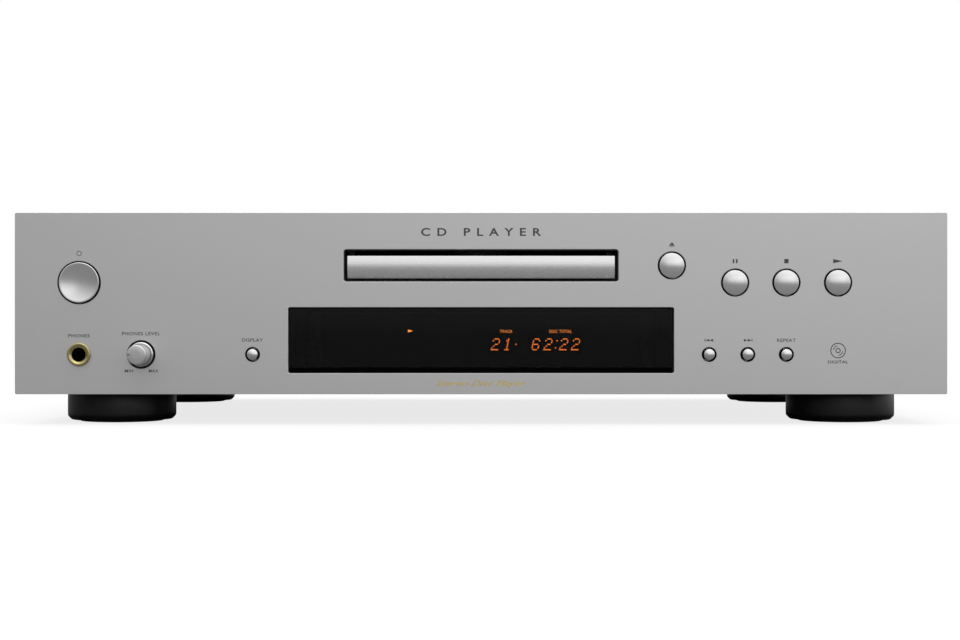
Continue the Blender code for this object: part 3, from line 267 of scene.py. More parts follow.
# %% Grain
grain, grain_in, grain_out = effect(
    "grain",
    [("Place", "Vector"), ("Stretch", "Vector"), ("Scale", "Float"), ("Smooth", "Float"), ("Rough", "Float")],
    [("Roughness", "Float"), ("Height", "Float")],
)
squeezed = add_node(grain, "VectorMath", operation="MULTIPLY")
speckle = add_node(grain, "TexNoise", {"Detail": 3})
spread = add_node(grain, "MapRange", {"From Min": 0.3, "From Max": 0.7})
wire(
    grain,
    (grain_in, "Place", squeezed, 0),
    (grain_in, "Stretch", squeezed, 1),
    (squeezed, 0, speckle, "Vector"),
    (grain_in, "Scale", speckle, "Scale"),
    (speckle, "Fac", spread, "Value"),
    (grain_in, "Smooth", spread, "To Min"),
    (grain_in, "Rough", spread, "To Max"),
    (spread, "Result", grain_out, "Roughness"),
    (speckle, "Fac", grain_out, "Height"),
)

# %% [markdown]
# The second is tone: a broad, faint drift of the colour, as dye and paint have over a large part. The third is
# dust, which settles only on what faces up, and more in some places than in others.

# %% Tone
tone, tone_in, tone_out = effect(
    "tone",
    [("Place", "Vector"), ("Light", "Color"), ("Dark", "Color"), ("Scale", "Float")],
    [("Color", "Color")],
)
drift = add_node(tone, "TexNoise", {"Detail": 2})
mix_tone = add_node(tone, "Mix", data_type="RGBA")
wire(
    tone,
    (tone_in, "Place", drift, "Vector"),
    (tone_in, "Scale", drift, "Scale"),
    (drift, "Fac", mix_tone, "Factor"),
    (tone_in, "Dark", mix_tone, "A"),
    (tone_in, "Light", mix_tone, "B"),
    (mix_tone, "Result", tone_out, "Color"),
)

# %% Dust
DUST_COLOUR = (0.42, 0.40, 0.37, 1)
dust, dust_in, dust_out = effect(
    "dust",
    [("Place", "Vector"), ("Color", "Color"), ("Amount", "Float")],
    [("Color", "Color")],
)
facing_up = add_node(dust, "SeparateXYZ")
specks = add_node(dust, "TexNoise", {"Scale": 60, "Detail": 5})
settled = add_node(dust, "MapRange", {"From Min": 0.6, "From Max": 1.0})
patchy = add_node(dust, "Math", operation="MULTIPLY")
film = add_node(dust, "Math", operation="MULTIPLY")
mix_dust = add_node(dust, "Mix", {"B": DUST_COLOUR}, data_type="RGBA")
wire(
    dust,
    (dust_in, "Place", specks, "Vector"),
    (add_node(dust, "NewGeometry"), "True Normal", facing_up, 0),
    (facing_up, "Z", settled, "Value"),
    (settled, "Result", patchy, 0),
    (specks, "Fac", patchy, 1),
    (patchy, 0, film, 0),
    (dust_in, "Amount", film, 1),
    (film, 0, mix_dust, "Factor"),
    (dust_in, "Color", mix_dust, "A"),
    (mix_dust, "Result", dust_out, "Color"),
)

# %% [markdown]
# A finish is then one call: its colour and how far it drifts, how metallic it is, the range of its roughness, the
# size of its grain in millimetres, the depth of its bump, and any dust. Numbers that are the same all over, such
# as a coat of lacquer, are set on the shader itself.

# %% A helper for finishes
finishes = {}


def finish(name, colour, metallic, rough, grain_mm, bump=0.02, drift=0.04, stretch=(1, 1, 1), dusty=0.0, **shader):
    """A material with grain, tone and dust. Extra words are the shader's own sockets."""
    material = bpy.data.materials.new(f"{name}_finish")
    material.use_nodes = True
    tree = material.node_tree
    surface = tree.nodes["Principled BSDF"]
    place = add_node(tree, "TexCoord")

    def use(group, **values):
        node = add_node(tree, "Group", values, node_tree=group)
        wire(tree, (place, "Object", node, "Place"))
        return node

    light, dark = ([c * (1 + k) for c in colour] + [1] for k in (drift, -drift))
    coloured = use(tone, Light=light, Dark=dark, Scale=9.0)
    if dusty:
        layer = use(dust, Amount=dusty)
        wire(tree, (coloured, "Color", layer, "Color"))
        coloured = layer
    skin = use(grain, Scale=1 / (grain_mm * MM), Stretch=stretch, Smooth=rough[0], Rough=rough[1])
    relief = add_node(tree, "Bump", {"Strength": 1.0, "Distance": bump * MM})
    wire(
        tree,
        (coloured, "Color", surface, "Base Color"),
        (skin, "Roughness", surface, "Roughness"),
        (skin, "Height", relief, "Height"),
        (relief, "Normal", surface, "Normal"),
    )
    surface.inputs["Metallic"].default_value = metallic
    for socket, value in shader.items():
        surface.inputs[socket.replace("_", " ")].default_value = value
    material.diffuse_color = (*colour, 1)
    finishes[name] = material
    return material


# %% [markdown]
# ### Metals
#
# The panel is light grey anodised aluminium, blasted and then very finely brushed from side to side. The buttons
# and the tray's front are smoother and brighter, so their curves catch the softboxes.

# %% Metals
finish("brushed_panel", (0.65, 0.65, 0.65), 0.95, (0.40, 0.48), 0.25, bump=0.002, drift=0.012, stretch=(0.08, 1, 1))
finish("button_metal", (0.73, 0.73, 0.73), 1.0, (0.22, 0.28), 0.12, bump=0.001, drift=0.01)
finish("tray_metal", (0.77, 0.77, 0.77), 1.0, (0.26, 0.34), 0.2, bump=0.0004, drift=0.01, stretch=(0.06, 1, 1))
finish("gilt_metal", (0.50, 0.42, 0.20), 1.0, (0.20, 0.30), 0.3, bump=0.002, drift=0.03)
finish("painted_steel", (0.36, 0.36, 0.365), 0.35, (0.38, 0.52), 0.55, bump=0.03, drift=0.02, dusty=0.12)
finish("rear_paint", (0.030, 0.030, 0.032), 0.2, (0.42, 0.58), 0.5, bump=0.02, drift=0.05)
finish("zinc_plate", (0.60, 0.62, 0.64), 0.9, (0.28, 0.46), 2.5, bump=0.004, drift=0.10, dusty=0.10)
finish("motor_steel", (0.62, 0.62, 0.61), 1.0, (0.22, 0.36), 0.4, bump=0.003, drift=0.05)
finish("heatsink_metal", (0.46, 0.46, 0.47), 0.95, (0.35, 0.48), 0.4, bump=0.004, drift=0.04, stretch=(1, 1, 0.05))
finish("iron_core", (0.10, 0.09, 0.085), 0.6, (0.35, 0.6), 0.35, bump=0.03, drift=0.15, stretch=(1, 8, 1))
finish("screw_steel", (0.05, 0.05, 0.052), 0.85, (0.28, 0.40), 0.3, bump=0.003, drift=0.05)

# %% [markdown]
# ### Plastics, rubber and boards
#
# Moulded plastic has a pebbled skin from the spark-eroded mould, and the deeper the pebbles, the duller it looks.
# The feet came from a finer mould, so their skin is smoother and shows a soft highlight.

# %% Plastics
finish("black_plastic", (0.018, 0.018, 0.019), 0.0, (0.45, 0.62), 0.5, bump=0.02, drift=0.10)
finish("tray_plastic", (0.012, 0.012, 0.013), 0.0, (0.40, 0.54), 0.45, bump=0.02, drift=0.10)
finish("grey_plastic", (0.075, 0.075, 0.08), 0.0, (0.42, 0.58), 0.6, bump=0.02, drift=0.08)
finish("white_plastic", (0.80, 0.79, 0.74), 0.0, (0.32, 0.45), 0.5, bump=0.006, drift=0.04)
finish(
    "foot_plastic", (0.006, 0.006, 0.0065), 0.0, (0.32, 0.38), 0.4, bump=0.004, drift=0.08, Specular_IOR_Level=0.35
)
# This dead black with no gloss is painted shade: it stands for the shadow in the gaps around the buttons and under
# the window pane.
finish("painted_shade_black", (0.0015, 0.0015, 0.0016), 0.0, (0.9, 1.0), 0.3, bump=0.03, drift=0.2, Specular_IOR_Level=0.0)
finish("rubber", (0.020, 0.020, 0.020), 0.0, (0.70, 0.88), 0.4, bump=0.04, drift=0.15)
finish("socket_plastic", (0.020, 0.020, 0.021), 0.0, (0.30, 0.42), 0.4, bump=0.008, drift=0.08)
finish("winding_tape", (0.60, 0.44, 0.10), 0.0, (0.30, 0.42), 3.0, bump=0.03, drift=0.10, stretch=(0.2, 0.2, 1))
finish("circuit_board", (0.020, 0.14, 0.055), 0.0, (0.22, 0.36), 1.2, bump=0.02, drift=0.22, Coat_Weight=0.4)
finish("red_plastic", (0.50, 0.02, 0.02), 0.0, (0.30, 0.40), 0.4, bump=0.006, drift=0.05)
finish("ivory_plastic", (0.78, 0.76, 0.70), 0.0, (0.30, 0.40), 0.4, bump=0.006, drift=0.03)
finish("amber_plastic", (0.80, 0.26, 0.02), 0.0, (0.30, 0.40), 0.4, bump=0.006, drift=0.05)

# %% [markdown]
# ### Glass, prints and the lit figures
#
# The display window is smoked acrylic: it darkens what is behind it, so that only the lit figures show through.
# Printed words are thin ink with a slightly uneven film. The figures of the display glow by themselves, and each
# is a little brighter in some places than in others.

# %% Glass
finish(
    "smoked_pane", (0.20, 0.20, 0.205), 0.0, (0.05, 0.07), 8.0,
    bump=0.0005, drift=0.02, Transmission_Weight=1.0, IOR=1.30,
)
finish("display_glass", (0.012, 0.012, 0.013), 0.0, (0.18, 0.24), 1.5, bump=0.001, drift=0.06)
finish(
    "lens_glass", (0.10, 0.16, 0.42), 0.0, (0.03, 0.06), 1.0,
    bump=0.0005, drift=0.1, Transmission_Weight=0.4, Coat_Weight=1.0,
)

# %% Inks
finish("grey_ink", (0.060, 0.060, 0.062), 0.0, (0.50, 0.65), 0.3, bump=0.002, drift=0.10)
finish("title_ink", (0.060, 0.060, 0.062), 0.0, (0.45, 0.60), 0.3, bump=0.002, drift=0.08)
finish("gold_ink", (0.68, 0.51, 0.16), 0.2, (0.38, 0.50), 0.3, bump=0.002, drift=0.08)
finish("white_ink", (0.70, 0.70, 0.70), 0.0, (0.50, 0.62), 0.3, bump=0.002, drift=0.04)

# %% Lit figures
FLICKER_SCALE = 900


def lit(name, strength, warm, cool):
    """A finish that glows, a little unevenly, between two colours."""
    material = finish(
        name, (0.3, 0.08, 0.02), 0.0, (0.4, 0.5), 0.5, bump=0.0, drift=0.1, Emission_Strength=strength
    )
    tree = material.node_tree
    flicker = add_node(
        tree, "Group", {"Light": (*warm, 1), "Dark": (*cool, 1), "Scale": FLICKER_SCALE}, node_tree=tone
    )
    wire(
        tree,
        (add_node(tree, "TexCoord"), "Object", flicker, "Place"),
        (flicker, "Color", tree.nodes["Principled BSDF"], "Emission Color"),
    )


lit("lit_figures", 5.0, (1.0, 0.28, 0.055), (1.0, 0.20, 0.035))
lit("lit_words", 5.5, (1.0, 0.36, 0.085), (1.0, 0.28, 0.055))
print(len(finishes), "finishes")

# %% [markdown]
# The frame's parts come in with plain materials that carry the names of their finishes, so each part's slot is
# simply filled with the finish of the same name.

# %% Finishes on the frame's parts
for node in nodes.values():
    for held in node.material_slots:
        held.material = finishes[held.material.name.split(".")[0]]

# %% [markdown]
# ## Hand tools
#
# Each piece below is shaped as by hand: a primitive at its real size and place, then extrude, scale, bevel or cut.
# A few short helpers keep that readable. Every operator works on what is selected, so each helper starts by
# selecting only its own piece.

# %% Selecting


def take(piece):
    """Selects one piece, and nothing else, as the active one."""
    bpy.ops.object.select_all(action="DESELECT")
    piece.select_set(True)
    bpy.context.view_layer.objects.active = piece
    return piece


def pick(kind, wanted):
    """In edit mode, selects only the edges or faces that pass a test."""
    bpy.ops.mesh.select_mode(type="EDGE" if kind == "edges" else "FACE")
    bpy.ops.mesh.select_all(action="DESELECT")
    shape = bmesh.from_edit_mesh(bpy.context.edit_object.data)
    for part in [part for part in getattr(shape, kind) if wanted(part)]:
        part.select_set(True)
    bmesh.update_edit_mesh(bpy.context.edit_object.data)


# %% Blocks and bevels
X, Y, Z = 0, 1, 2


def block(low, high):
    """A cube, stretched to fill the space between two corners."""
    low, high = Vector(low), Vector(high)
    bpy.ops.object.select_all(action="DESELECT")
    bpy.ops.mesh.primitive_cube_add(size=1, location=(low + high) / 2, scale=high - low)
    bpy.ops.object.transform_apply()
    return bpy.context.object


def block_at(centre, low, high):
    """A block whose corners are given in millimetres from a centre."""
    return block(Vector(centre) + Vector(mm(*low)), Vector(centre) + Vector(mm(*high)))


def round_corners(piece, axis, radius, segments=6):
    """Bevels the edges that run along one axis."""
    take(piece)
    bpy.ops.object.mode_set(mode="EDIT")
    pick("edges", lambda e: abs((e.verts[0].co - e.verts[1].co).normalized()[axis]) > 0.99)
    bpy.ops.mesh.bevel(offset=radius, segments=segments, affect="EDGES")
    bpy.ops.object.mode_set(mode="OBJECT")
    return piece


def apply_modifier(piece, kind, **settings):
    """Adds a modifier, sets it up and applies it."""
    take(piece)
    modifier = piece.modifiers.new(kind.title(), kind)
    for setting, value in settings.items():
        setattr(modifier, setting, value)
    bpy.ops.object.modifier_apply(modifier=modifier.name)
    return piece


def soften(piece, width, segments=2, angle=35):
    """Rounds every edge that is sharper than an angle, as a mould or a tumbler does."""
    return apply_modifier(
        piece, "BEVEL", width=width, segments=segments, limit_method="ANGLE",
        angle_limit=math.radians(angle), use_clamp_overlap=False, harden_normals=True,
    )


def carve(piece, *cutters):
    """Cuts the cutters' shapes out of a piece, and removes the cutters."""
    for cutter in cutters:
        apply_modifier(piece, "BOOLEAN", operation="DIFFERENCE", solver="EXACT", object=cutter)
        bpy.data.objects.remove(cutter)
    return piece


def merge(piece, *others):
    """Joins other objects into a piece."""
    take(piece)
    for other in others:
        other.select_set(True)
    bpy.ops.object.join()
    return piece


# %% [markdown]
# Round parts are drawn as a stack of rings. A filled circle starts at the back; each step extrudes it and scales
# it to the next ring. This gives the same control as a lathe, and closes both ends by itself.

# %% Turning
TOWARDS = {"front": Vector((0, -1, 0)), "rear": Vector((0, 1, 0)), "up": Vector((0, 0, 1))}


def turn(centre, rings, facing="front", sides=64):
    """A solid of revolution. Rings are (radius, reach), from the far end to the near one, reach along facing."""
    way = TOWARDS[facing]
    (radius, reach), *rest = rings
    spot = Vector(centre) + way * reach
    bpy.ops.object.select_all(action="DESELECT")
    bpy.ops.mesh.primitive_circle_add(
        vertices=sides, radius=radius, fill_type="NGON", location=spot,
        rotation=way.to_track_quat("Z", "Y").to_euler(),
    )
    bpy.ops.object.transform_apply()
    bpy.ops.object.mode_set(mode="EDIT")
    bpy.ops.mesh.select_all(action="SELECT")
    for next_radius, next_reach in rest:
        step = way * (next_reach - reach)
        bpy.ops.mesh.extrude_region_move(TRANSFORM_OT_translate={"value": step})
        spot = spot + step
        bpy.ops.transform.resize(value=(next_radius / radius,) * 3, center_override=spot)
        radius, reach = next_radius, next_reach
    bpy.ops.object.mode_set(mode="OBJECT")
    return bpy.context.object


def bowl(radius, edge, centre, steps=9):
    """Rings of a dome (centre above edge) or a dish (centre below edge), part of one large sphere."""
    rise = centre - edge
    sphere = (radius**2 + rise**2) / (2 * abs(rise))
    rings = []
    for i in range(1, steps + 1):
        r = radius * (1 - i / (steps + 0.35))
        drop = sphere - math.sqrt(sphere**2 - r**2)
        rings.append((r, centre - math.copysign(drop, rise)))
    return rings


# %% Finishing a piece


def complete(piece, name, finish_name, body="root", replaces=(), smooth=35):
    """Names a shaped piece, points its faces outwards, gives it its finish, and lets it ride on its body."""
    take(piece)
    piece.name = piece.data.name = name
    bpy.ops.object.transform_apply()
    bpy.ops.object.mode_set(mode="EDIT")
    bpy.ops.mesh.select_all(action="SELECT")
    bpy.ops.mesh.remove_doubles(threshold=0.002 * MM)
    bpy.ops.mesh.normals_make_consistent(inside=False)
    bpy.ops.object.mode_set(mode="OBJECT")
    if not piece.data.has_custom_normals:
        bpy.ops.object.shade_smooth_by_angle(angle=math.radians(smooth))
    piece.data.materials.clear()
    piece.data.materials.append(finishes[finish_name])
    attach(piece, body)
    if replaces:
        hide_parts(*replaces)
    return piece


def copy_to(piece, shift):
    """A copy with its own mesh, moved by shift. What repeats is modelled once and copied like this."""
    copy = piece.copy()
    copy.data = piece.data.copy()
    bpy.context.collection.objects.link(copy)
    copy.location = Vector(piece.location) + Vector(shift)
    return copy


# %% [markdown]
# ## The front panel
#
# The real panel is one thick plate of aluminium. It is milled to shape, the openings are cut through, and every
# edge is broken by a tiny bevel before it is anodised. Those bevels are what make a metal panel look like metal:
# without them an opening is only a black shape. So the plate is a block, the holes are Boolean cuts, and one Bevel
# modifier then breaks all the edges at once.

# %% Openings in the panel
HOLES = {
    "power_button": 10.1, "eject_button": 6.55, "pause_button": 6.55, "stop_button": 6.55, "play_button": 6.55,
    "display_button": 3.45, "previous_button": 3.45, "next_button": 3.45, "repeat_button": 3.45,
    "phones_jack_nut": 4.5, "phones_level_knob": 6.65,
}


def drill(centre, radius, length, facing="front", sides=96):
    """A cutter for a round hole through the point centre."""
    return turn(centre, [(radius, -length), (radius, length)], facing, sides)


panel_low, panel_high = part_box("front_panel")
window_low, window_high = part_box("display_window")
tray_low, tray_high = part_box("tray_front_cap")
THROUGH, PAST = 12 * MM, 5 * MM


def opening(low, high, beside, below, above, radius):
    """A cutter for the opening around a part, with the gap left beside, below and above it."""
    return round_corners(block(
        (low.x - beside * MM, panel_low.y - PAST, low.z - below * MM),
        (high.x + beside * MM, panel_high.y + PAST, high.z + above * MM),
    ), Y, radius * MM)


panel = round_corners(block(panel_low, panel_high), Y, 0.8 * MM, 4)
cutters = [drill(on_face(name), radius * MM, THROUGH) for name, radius in HOLES.items()]
cutters.append(opening(window_low, window_high, 0.6, 0.5, 0.6, 1.0))
cutters.append(opening(tray_low, tray_high, 1.6, 1.35, 2.9, 1.3))
carve(panel, *cutters)
soften(panel, 0.22 * MM, 2)
complete(panel, "panel_plate", "brushed_panel", replaces=["front_panel"])
print("panel plate:", len(panel.data.polygons), "faces")

# %% [markdown]
# A sleeve lines each button's hole, so that none of the buttons rattles. Its dead black, which mirrors nothing, is
# painted shade: it stands for the shadow in the gap, so that a dark line shows around every button. One ring is
# turned for each size of hole, and the rest are copies.

# %% Sleeves in the button holes
SLEEVE_WALL, SLEEVE_GAP = 0.25 * MM, 0.05 * MM
sleeves, first_of_size = [], {}
for name, radius in HOLES.items():
    if not name.endswith("_button"):
        continue
    if radius in first_of_size:
        first, model = first_of_size[radius]
        sleeve = copy_to(model, on_face(name) - on_face(first))
    else:
        outside = radius * MM - SLEEVE_GAP
        sleeve = turn(on_face(name), [(outside, -4.8 * MM), (outside, -0.35 * MM)], sides=64)
        carve(sleeve, drill(on_face(name), outside - SLEEVE_WALL, THROUGH, sides=64))
        first_of_size[radius] = (name, sleeve)
    sleeves.append(sleeve)
# The sleeves' dead black is painted shade, the shadow in the gap around each button.
complete(merge(*sleeves), "button_sleeves_painted_shade", "painted_shade_black")
print(len(sleeves), "sleeves in", len(first_of_size), "sizes")

# %% [markdown]
# ## The window
#
# A pane of smoked acrylic sits a little behind the panel's face. It ends short of the opening's lower edge, where
# its foot steps back into the frame. A strip of dead black fills that step and mirrors nothing: it is painted
# shade, the dark band of the shadowed step under the pane.

# %% Window pane
PANE_STEP = 2.2 * MM
pane = block(window_low, window_high)
carve(pane, block(
    (window_low.x - MM, window_low.y - MM, window_low.z - MM),
    (window_high.x + MM, window_low.y + 0.6 * MM, window_low.z + PANE_STEP),
))
soften(pane, 0.15 * MM, 2)
complete(pane, "window_pane", "smoked_pane", replaces=["display_window"])
# The strip is painted shade: a black with no gloss in the step under the pane.
shade_strip = soften(block(
    (window_low.x, window_low.y + 0.15 * MM, window_low.z),
    (window_high.x, window_low.y + 0.58 * MM, window_low.z + PANE_STEP - 0.1 * MM),
), 0.08 * MM, 1)
complete(shade_strip, "window_painted_shade", "painted_shade_black")

# %% [markdown]
# ## The lit figures
#
# A fluorescent display lights small dots behind its glass, five across and seven down for each figure, all leaning
# a little to the right. One dot is modelled, then copied to each lit place. The dots stand just in front of the
# display module and glow through the pane.

# %% Dot patterns
FIGURES = {
    "0": ("01110", "10001", "10001", "10001", "10001", "10001", "01110"),
    "1": ("00100", "01100", "00100", "00100", "00100", "00100", "01110"),
    "2": ("01110", "10001", "00001", "00110", "01000", "10000", "11111"),
    "6": ("01110", "10001", "10000", "11110", "10001", "10001", "01110"),
    ":": ("00000", "00100", "00000", "00000", "00000", "00100", "00000"),
    ".": ("00000", "00000", "00000", "00100", "00000", "00000", "00000"),
}
DOT_WIDE, DOT_HIGH, LEAN = 0.72 * MM, 0.84 * MM, 0.22
display_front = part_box("display_module")[0].y - 0.06 * MM

# %% Lit dots
bpy.ops.object.select_all(action="DESELECT")
bpy.ops.mesh.primitive_circle_add(
    vertices=8, radius=0.31 * MM, fill_type="NGON", rotation=(math.pi / 2, 0, 0)
)
first_dot = bpy.context.object
bpy.ops.object.transform_apply()
bpy.ops.object.mode_set(mode="EDIT")
bpy.ops.mesh.select_all(action="SELECT")
bpy.ops.mesh.extrude_region_move(TRANSFORM_OT_translate={"value": (0, 0.04 * MM, 0)})
bpy.ops.object.mode_set(mode="OBJECT")


def lit_figure(figure, x, z):
    """The lit dots of one figure, around its middle."""
    dots = []
    for row, line in enumerate(FIGURES[figure]):
        for column, state in enumerate(line):
            if state == "1":
                up = (3 - row) * DOT_HIGH
                place = (x + (column - 2) * DOT_WIDE + up * LEAN, display_front, z + up)
                dots.append(copy_to(first_dot, place))
    return dots


READING = (
    ("2", 6.85), ("1", 12.5), (".", 16.4), ("6", 25.8), ("2", 31.6), (":", 35.4), ("2", 39.0), ("2", 44.6),
)
FIGURES_Z = 37.4 * MM
glowing = [dot for figure, x in READING for dot in lit_figure(figure, x * MM, FIGURES_Z)]
bpy.data.objects.remove(first_dot)
print(len(glowing), "lit dots")
complete(merge(*glowing), "lit_dots", "lit_figures")

# %% [markdown]
# ## Buttons
#
# All the buttons are turned from aluminium bar. The large and small ones have a domed face; the power button is
# dished, so a finger finds it. Each has a flange behind the panel that stops it from falling out and a stem that
# reaches its switch. One button of each kind is turned, and the others are copies moved to their holes.

# %% Turned buttons


def button(name, cap, flange, flange_thick, stem, rings, sides):
    """A push button: stem, flange and cap, then the rings of its face."""
    low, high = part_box(name)
    back, seat = FACE - high.y, -8.6 * MM
    body = [
        (stem, back), (stem, seat - flange_thick), (flange, seat - flange_thick), (flange, seat), (cap, seat),
    ]
    return turn(on_face(name), body + rings, sides=sides)


def rim(cap, reach, fillet, steps=4):
    """The rounded edge between a cap's side and its face."""
    turns = (math.pi / 2 * i / steps for i in range(steps + 1))
    return [(cap - fillet * (1 - math.cos(a)), reach - fillet * (1 - math.sin(a))) for a in turns]


power_face = rim(9.40 * MM, 0.90 * MM, 0.35 * MM) + bowl(9.0 * MM, 0.88 * MM, -0.35 * MM, 14)
large_face = rim(5.80 * MM, 0.55 * MM, 0.25 * MM) + bowl(5.55 * MM, 0.55 * MM, 1.50 * MM, 14)
small_face = rim(2.50 * MM, 1.10 * MM, 0.20 * MM) + bowl(2.3 * MM, 1.10 * MM, 1.70 * MM, 6)
power_key = button("power_button", 9.40 * MM, 12 * MM, 1.8 * MM, 3 * MM, power_face, 128)
large_key = button("eject_button", 5.80 * MM, 7.8 * MM, 1.5 * MM, 2.5 * MM, large_face, 96)
small_key = button("display_button", 2.50 * MM, 4.5 * MM, 1.2 * MM, 1.5 * MM, small_face, 64)

# %% Copies of the buttons
KEYS = {"power_button": power_key, "eject_button": large_key, "display_button": small_key}
for name, model in (
    ("pause_button", "eject_button"), ("stop_button", "eject_button"), ("play_button", "eject_button"),
    ("previous_button", "display_button"), ("next_button", "display_button"), ("repeat_button", "display_button"),
):
    KEYS[name] = copy_to(KEYS[model], on_face(name) - on_face(model))
for name, key in KEYS.items():
    complete(key, name.replace("button", "key"), "button_metal", name, [name], smooth=50)

# %% [markdown]
# ## Phones level knob
#
# The knob is a slim cone with a wider skirt that fills its hole in the panel. A small notch in the rim of its face
# points at the setting. It is turned like the buttons, the notch is a small bar cut out of it, and a line of grey
# ink lies at the bottom of the notch.

# %% Knob
knob_at = on_face("phones_level_knob")
knob_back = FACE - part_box("phones_level_knob")[1].y
knob = turn(
    knob_at,
    [
        (2 * MM, knob_back), mm(2, -4.4), mm(5.6, -4.4), mm(5.75, -4.2),
        mm(5.75, 0.25), mm(5.65, 0.45), mm(5.45, 0.55), mm(5.12, 1.0),
        mm(4.98, 1.5), mm(4.42, 12.0), mm(4.36, 12.22), mm(4.2, 12.36),
        mm(3.95, 12.40), mm(1.2, 12.40),
    ],
    sides=128,
)
carve(knob, block_at(knob_at, (-5.2, -12.8, -0.28), (-2.9, -11.9, 0.28)))
complete(knob, "level_knob", "button_metal", "phones_level_knob", ["phones_level_knob"], smooth=30)

# %% Knob mark
mark = block_at(knob_at, (-4.25, -12.0, -0.22), (-2.98, -11.85, 0.22))
complete(soften(mark, 0.04 * MM, 1), "knob_mark", "grey_ink", "phones_level_knob")

# %% [markdown]
# ## Phones socket
#
# A gold-coloured ring nut holds the socket to the panel. Its lip is rounded outside and dished towards the bore,
# and a fine thread runs along the barrel behind the panel. The bore is drilled through the turned blank.

# %% Ring nut
jack_at = on_face("phones_jack_nut")
THREADS, THREAD_PITCH = 7, 1.1
thread = []
for i in range(THREADS):
    thread += [mm(4.1, THREAD_PITCH * i - 8.4), mm(3.95, THREAD_PITCH * i - 7.85)]
nut = turn(
    jack_at,
    thread + [mm(4.1, -0.3), mm(4.1, 0.3), mm(5.3, 0.3), mm(5.4, 0.4)]
    + rim(5.4 * MM, 1.5 * MM, 0.45 * MM) + [mm(4.5, 1.5), mm(4.2, 1.42), mm(3.6, 0.8)],
    sides=96,
)
carve(nut, drill(jack_at, 3.35 * MM, THROUGH))
complete(nut, "phones_ring", "gilt_metal", replaces=["phones_jack_nut"], smooth=40)

# %% [markdown]
# ## The tray's front
#
# The bar that closes the tray slot is bowed a little, so it shades from bright at the top to darker below, and a
# bevel runs along its lower edge. Bisecting the block at even heights gives the rows of points that the bow needs.

# %% Tray door
BEVEL_HIGH, BEVEL_BACK, BOW, BOW_ROWS = 1.5 * MM, 1.25 * MM, 0.62 * MM, 12
door = block(tray_low, tray_high)
bow_low, bow_high = tray_low.z + BEVEL_HIGH, tray_high.z
bow_middle, bow_half = (bow_low + bow_high) / 2, (bow_high - bow_low) / 2
bpy.ops.object.mode_set(mode="EDIT")
for i in range(BOW_ROWS + 1):
    bpy.ops.mesh.select_all(action="SELECT")
    cut_at = bow_low + (bow_high - bow_low) * min(i / BOW_ROWS, 0.999)
    bpy.ops.mesh.bisect(plane_co=(0, 0, cut_at), plane_no=(0, 0, 1))
bpy.ops.object.mode_set(mode="OBJECT")
for point in door.data.vertices:
    if point.co.y < tray_low.y + MM:
        if point.co.z < bow_low - 0.1 * MM:
            point.co.y += BEVEL_BACK
        else:
            point.co.y += BOW * ((point.co.z - bow_middle) / bow_half) ** 2
soften(door, 0.15 * MM, 2, 40)
complete(door, "tray_door", "tray_metal", "tray", ["tray_front_cap"], smooth=25)

# %% [markdown]
# ## Printing on the panel
#
# The words and symbols are screen-printed: a film of ink a few hundredths of a millimetre thick. Each word is a
# text object turned into a mesh, stretched to its measured width, and laid just proud of the metal so that it
# casts no visible shadow but never fights with the surface under it. All words are plain names of functions.

# %% Printed words
FACING = {"front": (math.pi / 2, 0, 0), "rear": (math.pi / 2, 0, math.pi)}
INK = 0.02 * MM


def centre_points(piece):
    """Moves a mesh's points so that its middle is the origin, and returns its size."""
    low = Vector(map(min, *(p.co for p in piece.data.vertices)))
    high = Vector(map(max, *(p.co for p in piece.data.vertices)))
    for point in piece.data.vertices:
        point.co -= (low + high) / 2
    return high - low


def printed(words, centre, height, width, facing="front", lean=0.0, spacing=1.0, bold=0.014):
    """Words as a thin solid, with the height of a capital and the width of the whole word given."""
    bpy.ops.object.select_all(action="DESELECT")
    bpy.ops.object.text_add()
    text = bpy.context.object
    text.data.body = words
    text.data.align_x, text.data.align_y = "CENTER", "CENTER"
    text.data.shear = lean
    text.data.space_character = spacing
    text.data.offset = bold
    text.data.resolution_u = 3
    text.data.extrude = 1.0
    bpy.ops.object.convert(target="MESH")
    size = centre_points(text)
    text.scale = (width / size.x, height / size.y, INK / 2)
    text.rotation_euler = FACING[facing]
    text.location = centre
    bpy.ops.object.transform_apply()
    return text


def shape_on_face(corners, x, z, wide, high, turned=0.0):
    """A flat printed shape: a triangle has 3 corners, a bar or square 4. It fills wide by high."""
    bpy.ops.object.select_all(action="DESELECT")
    bpy.ops.mesh.primitive_circle_add(vertices=corners, radius=1, fill_type="NGON")
    ink = bpy.context.object
    bpy.ops.object.mode_set(mode="EDIT")
    bpy.ops.mesh.select_all(action="SELECT")
    bpy.ops.mesh.extrude_region_move(TRANSFORM_OT_translate={"value": (0, 0, 1)})
    bpy.ops.object.mode_set(mode="OBJECT")
    spin = Matrix.Rotation(turned + (math.pi / 4 if corners == 4 else 0), 4, "Z")
    ink.data.transform(spin)
    size = centre_points(ink)
    ink.scale = (wide / size.x, high / size.y, INK / size.z)
    ink.rotation_euler = FACING["front"]
    ink.location = (x, FACE - INK / 2, z)
    bpy.ops.object.transform_apply()
    return ink


def ring_on_face(x, z, radius, line):
    """A printed circle: a thin torus pressed flat."""
    bpy.ops.object.select_all(action="DESELECT")
    bpy.ops.mesh.primitive_torus_add(
        major_radius=radius, minor_radius=line / 2, major_segments=48, minor_segments=6,
        location=(x, FACE - INK / 2, z), rotation=FACING["front"],
    )
    ring = bpy.context.object
    ring.scale.z = INK / line
    bpy.ops.object.transform_apply()
    return ring


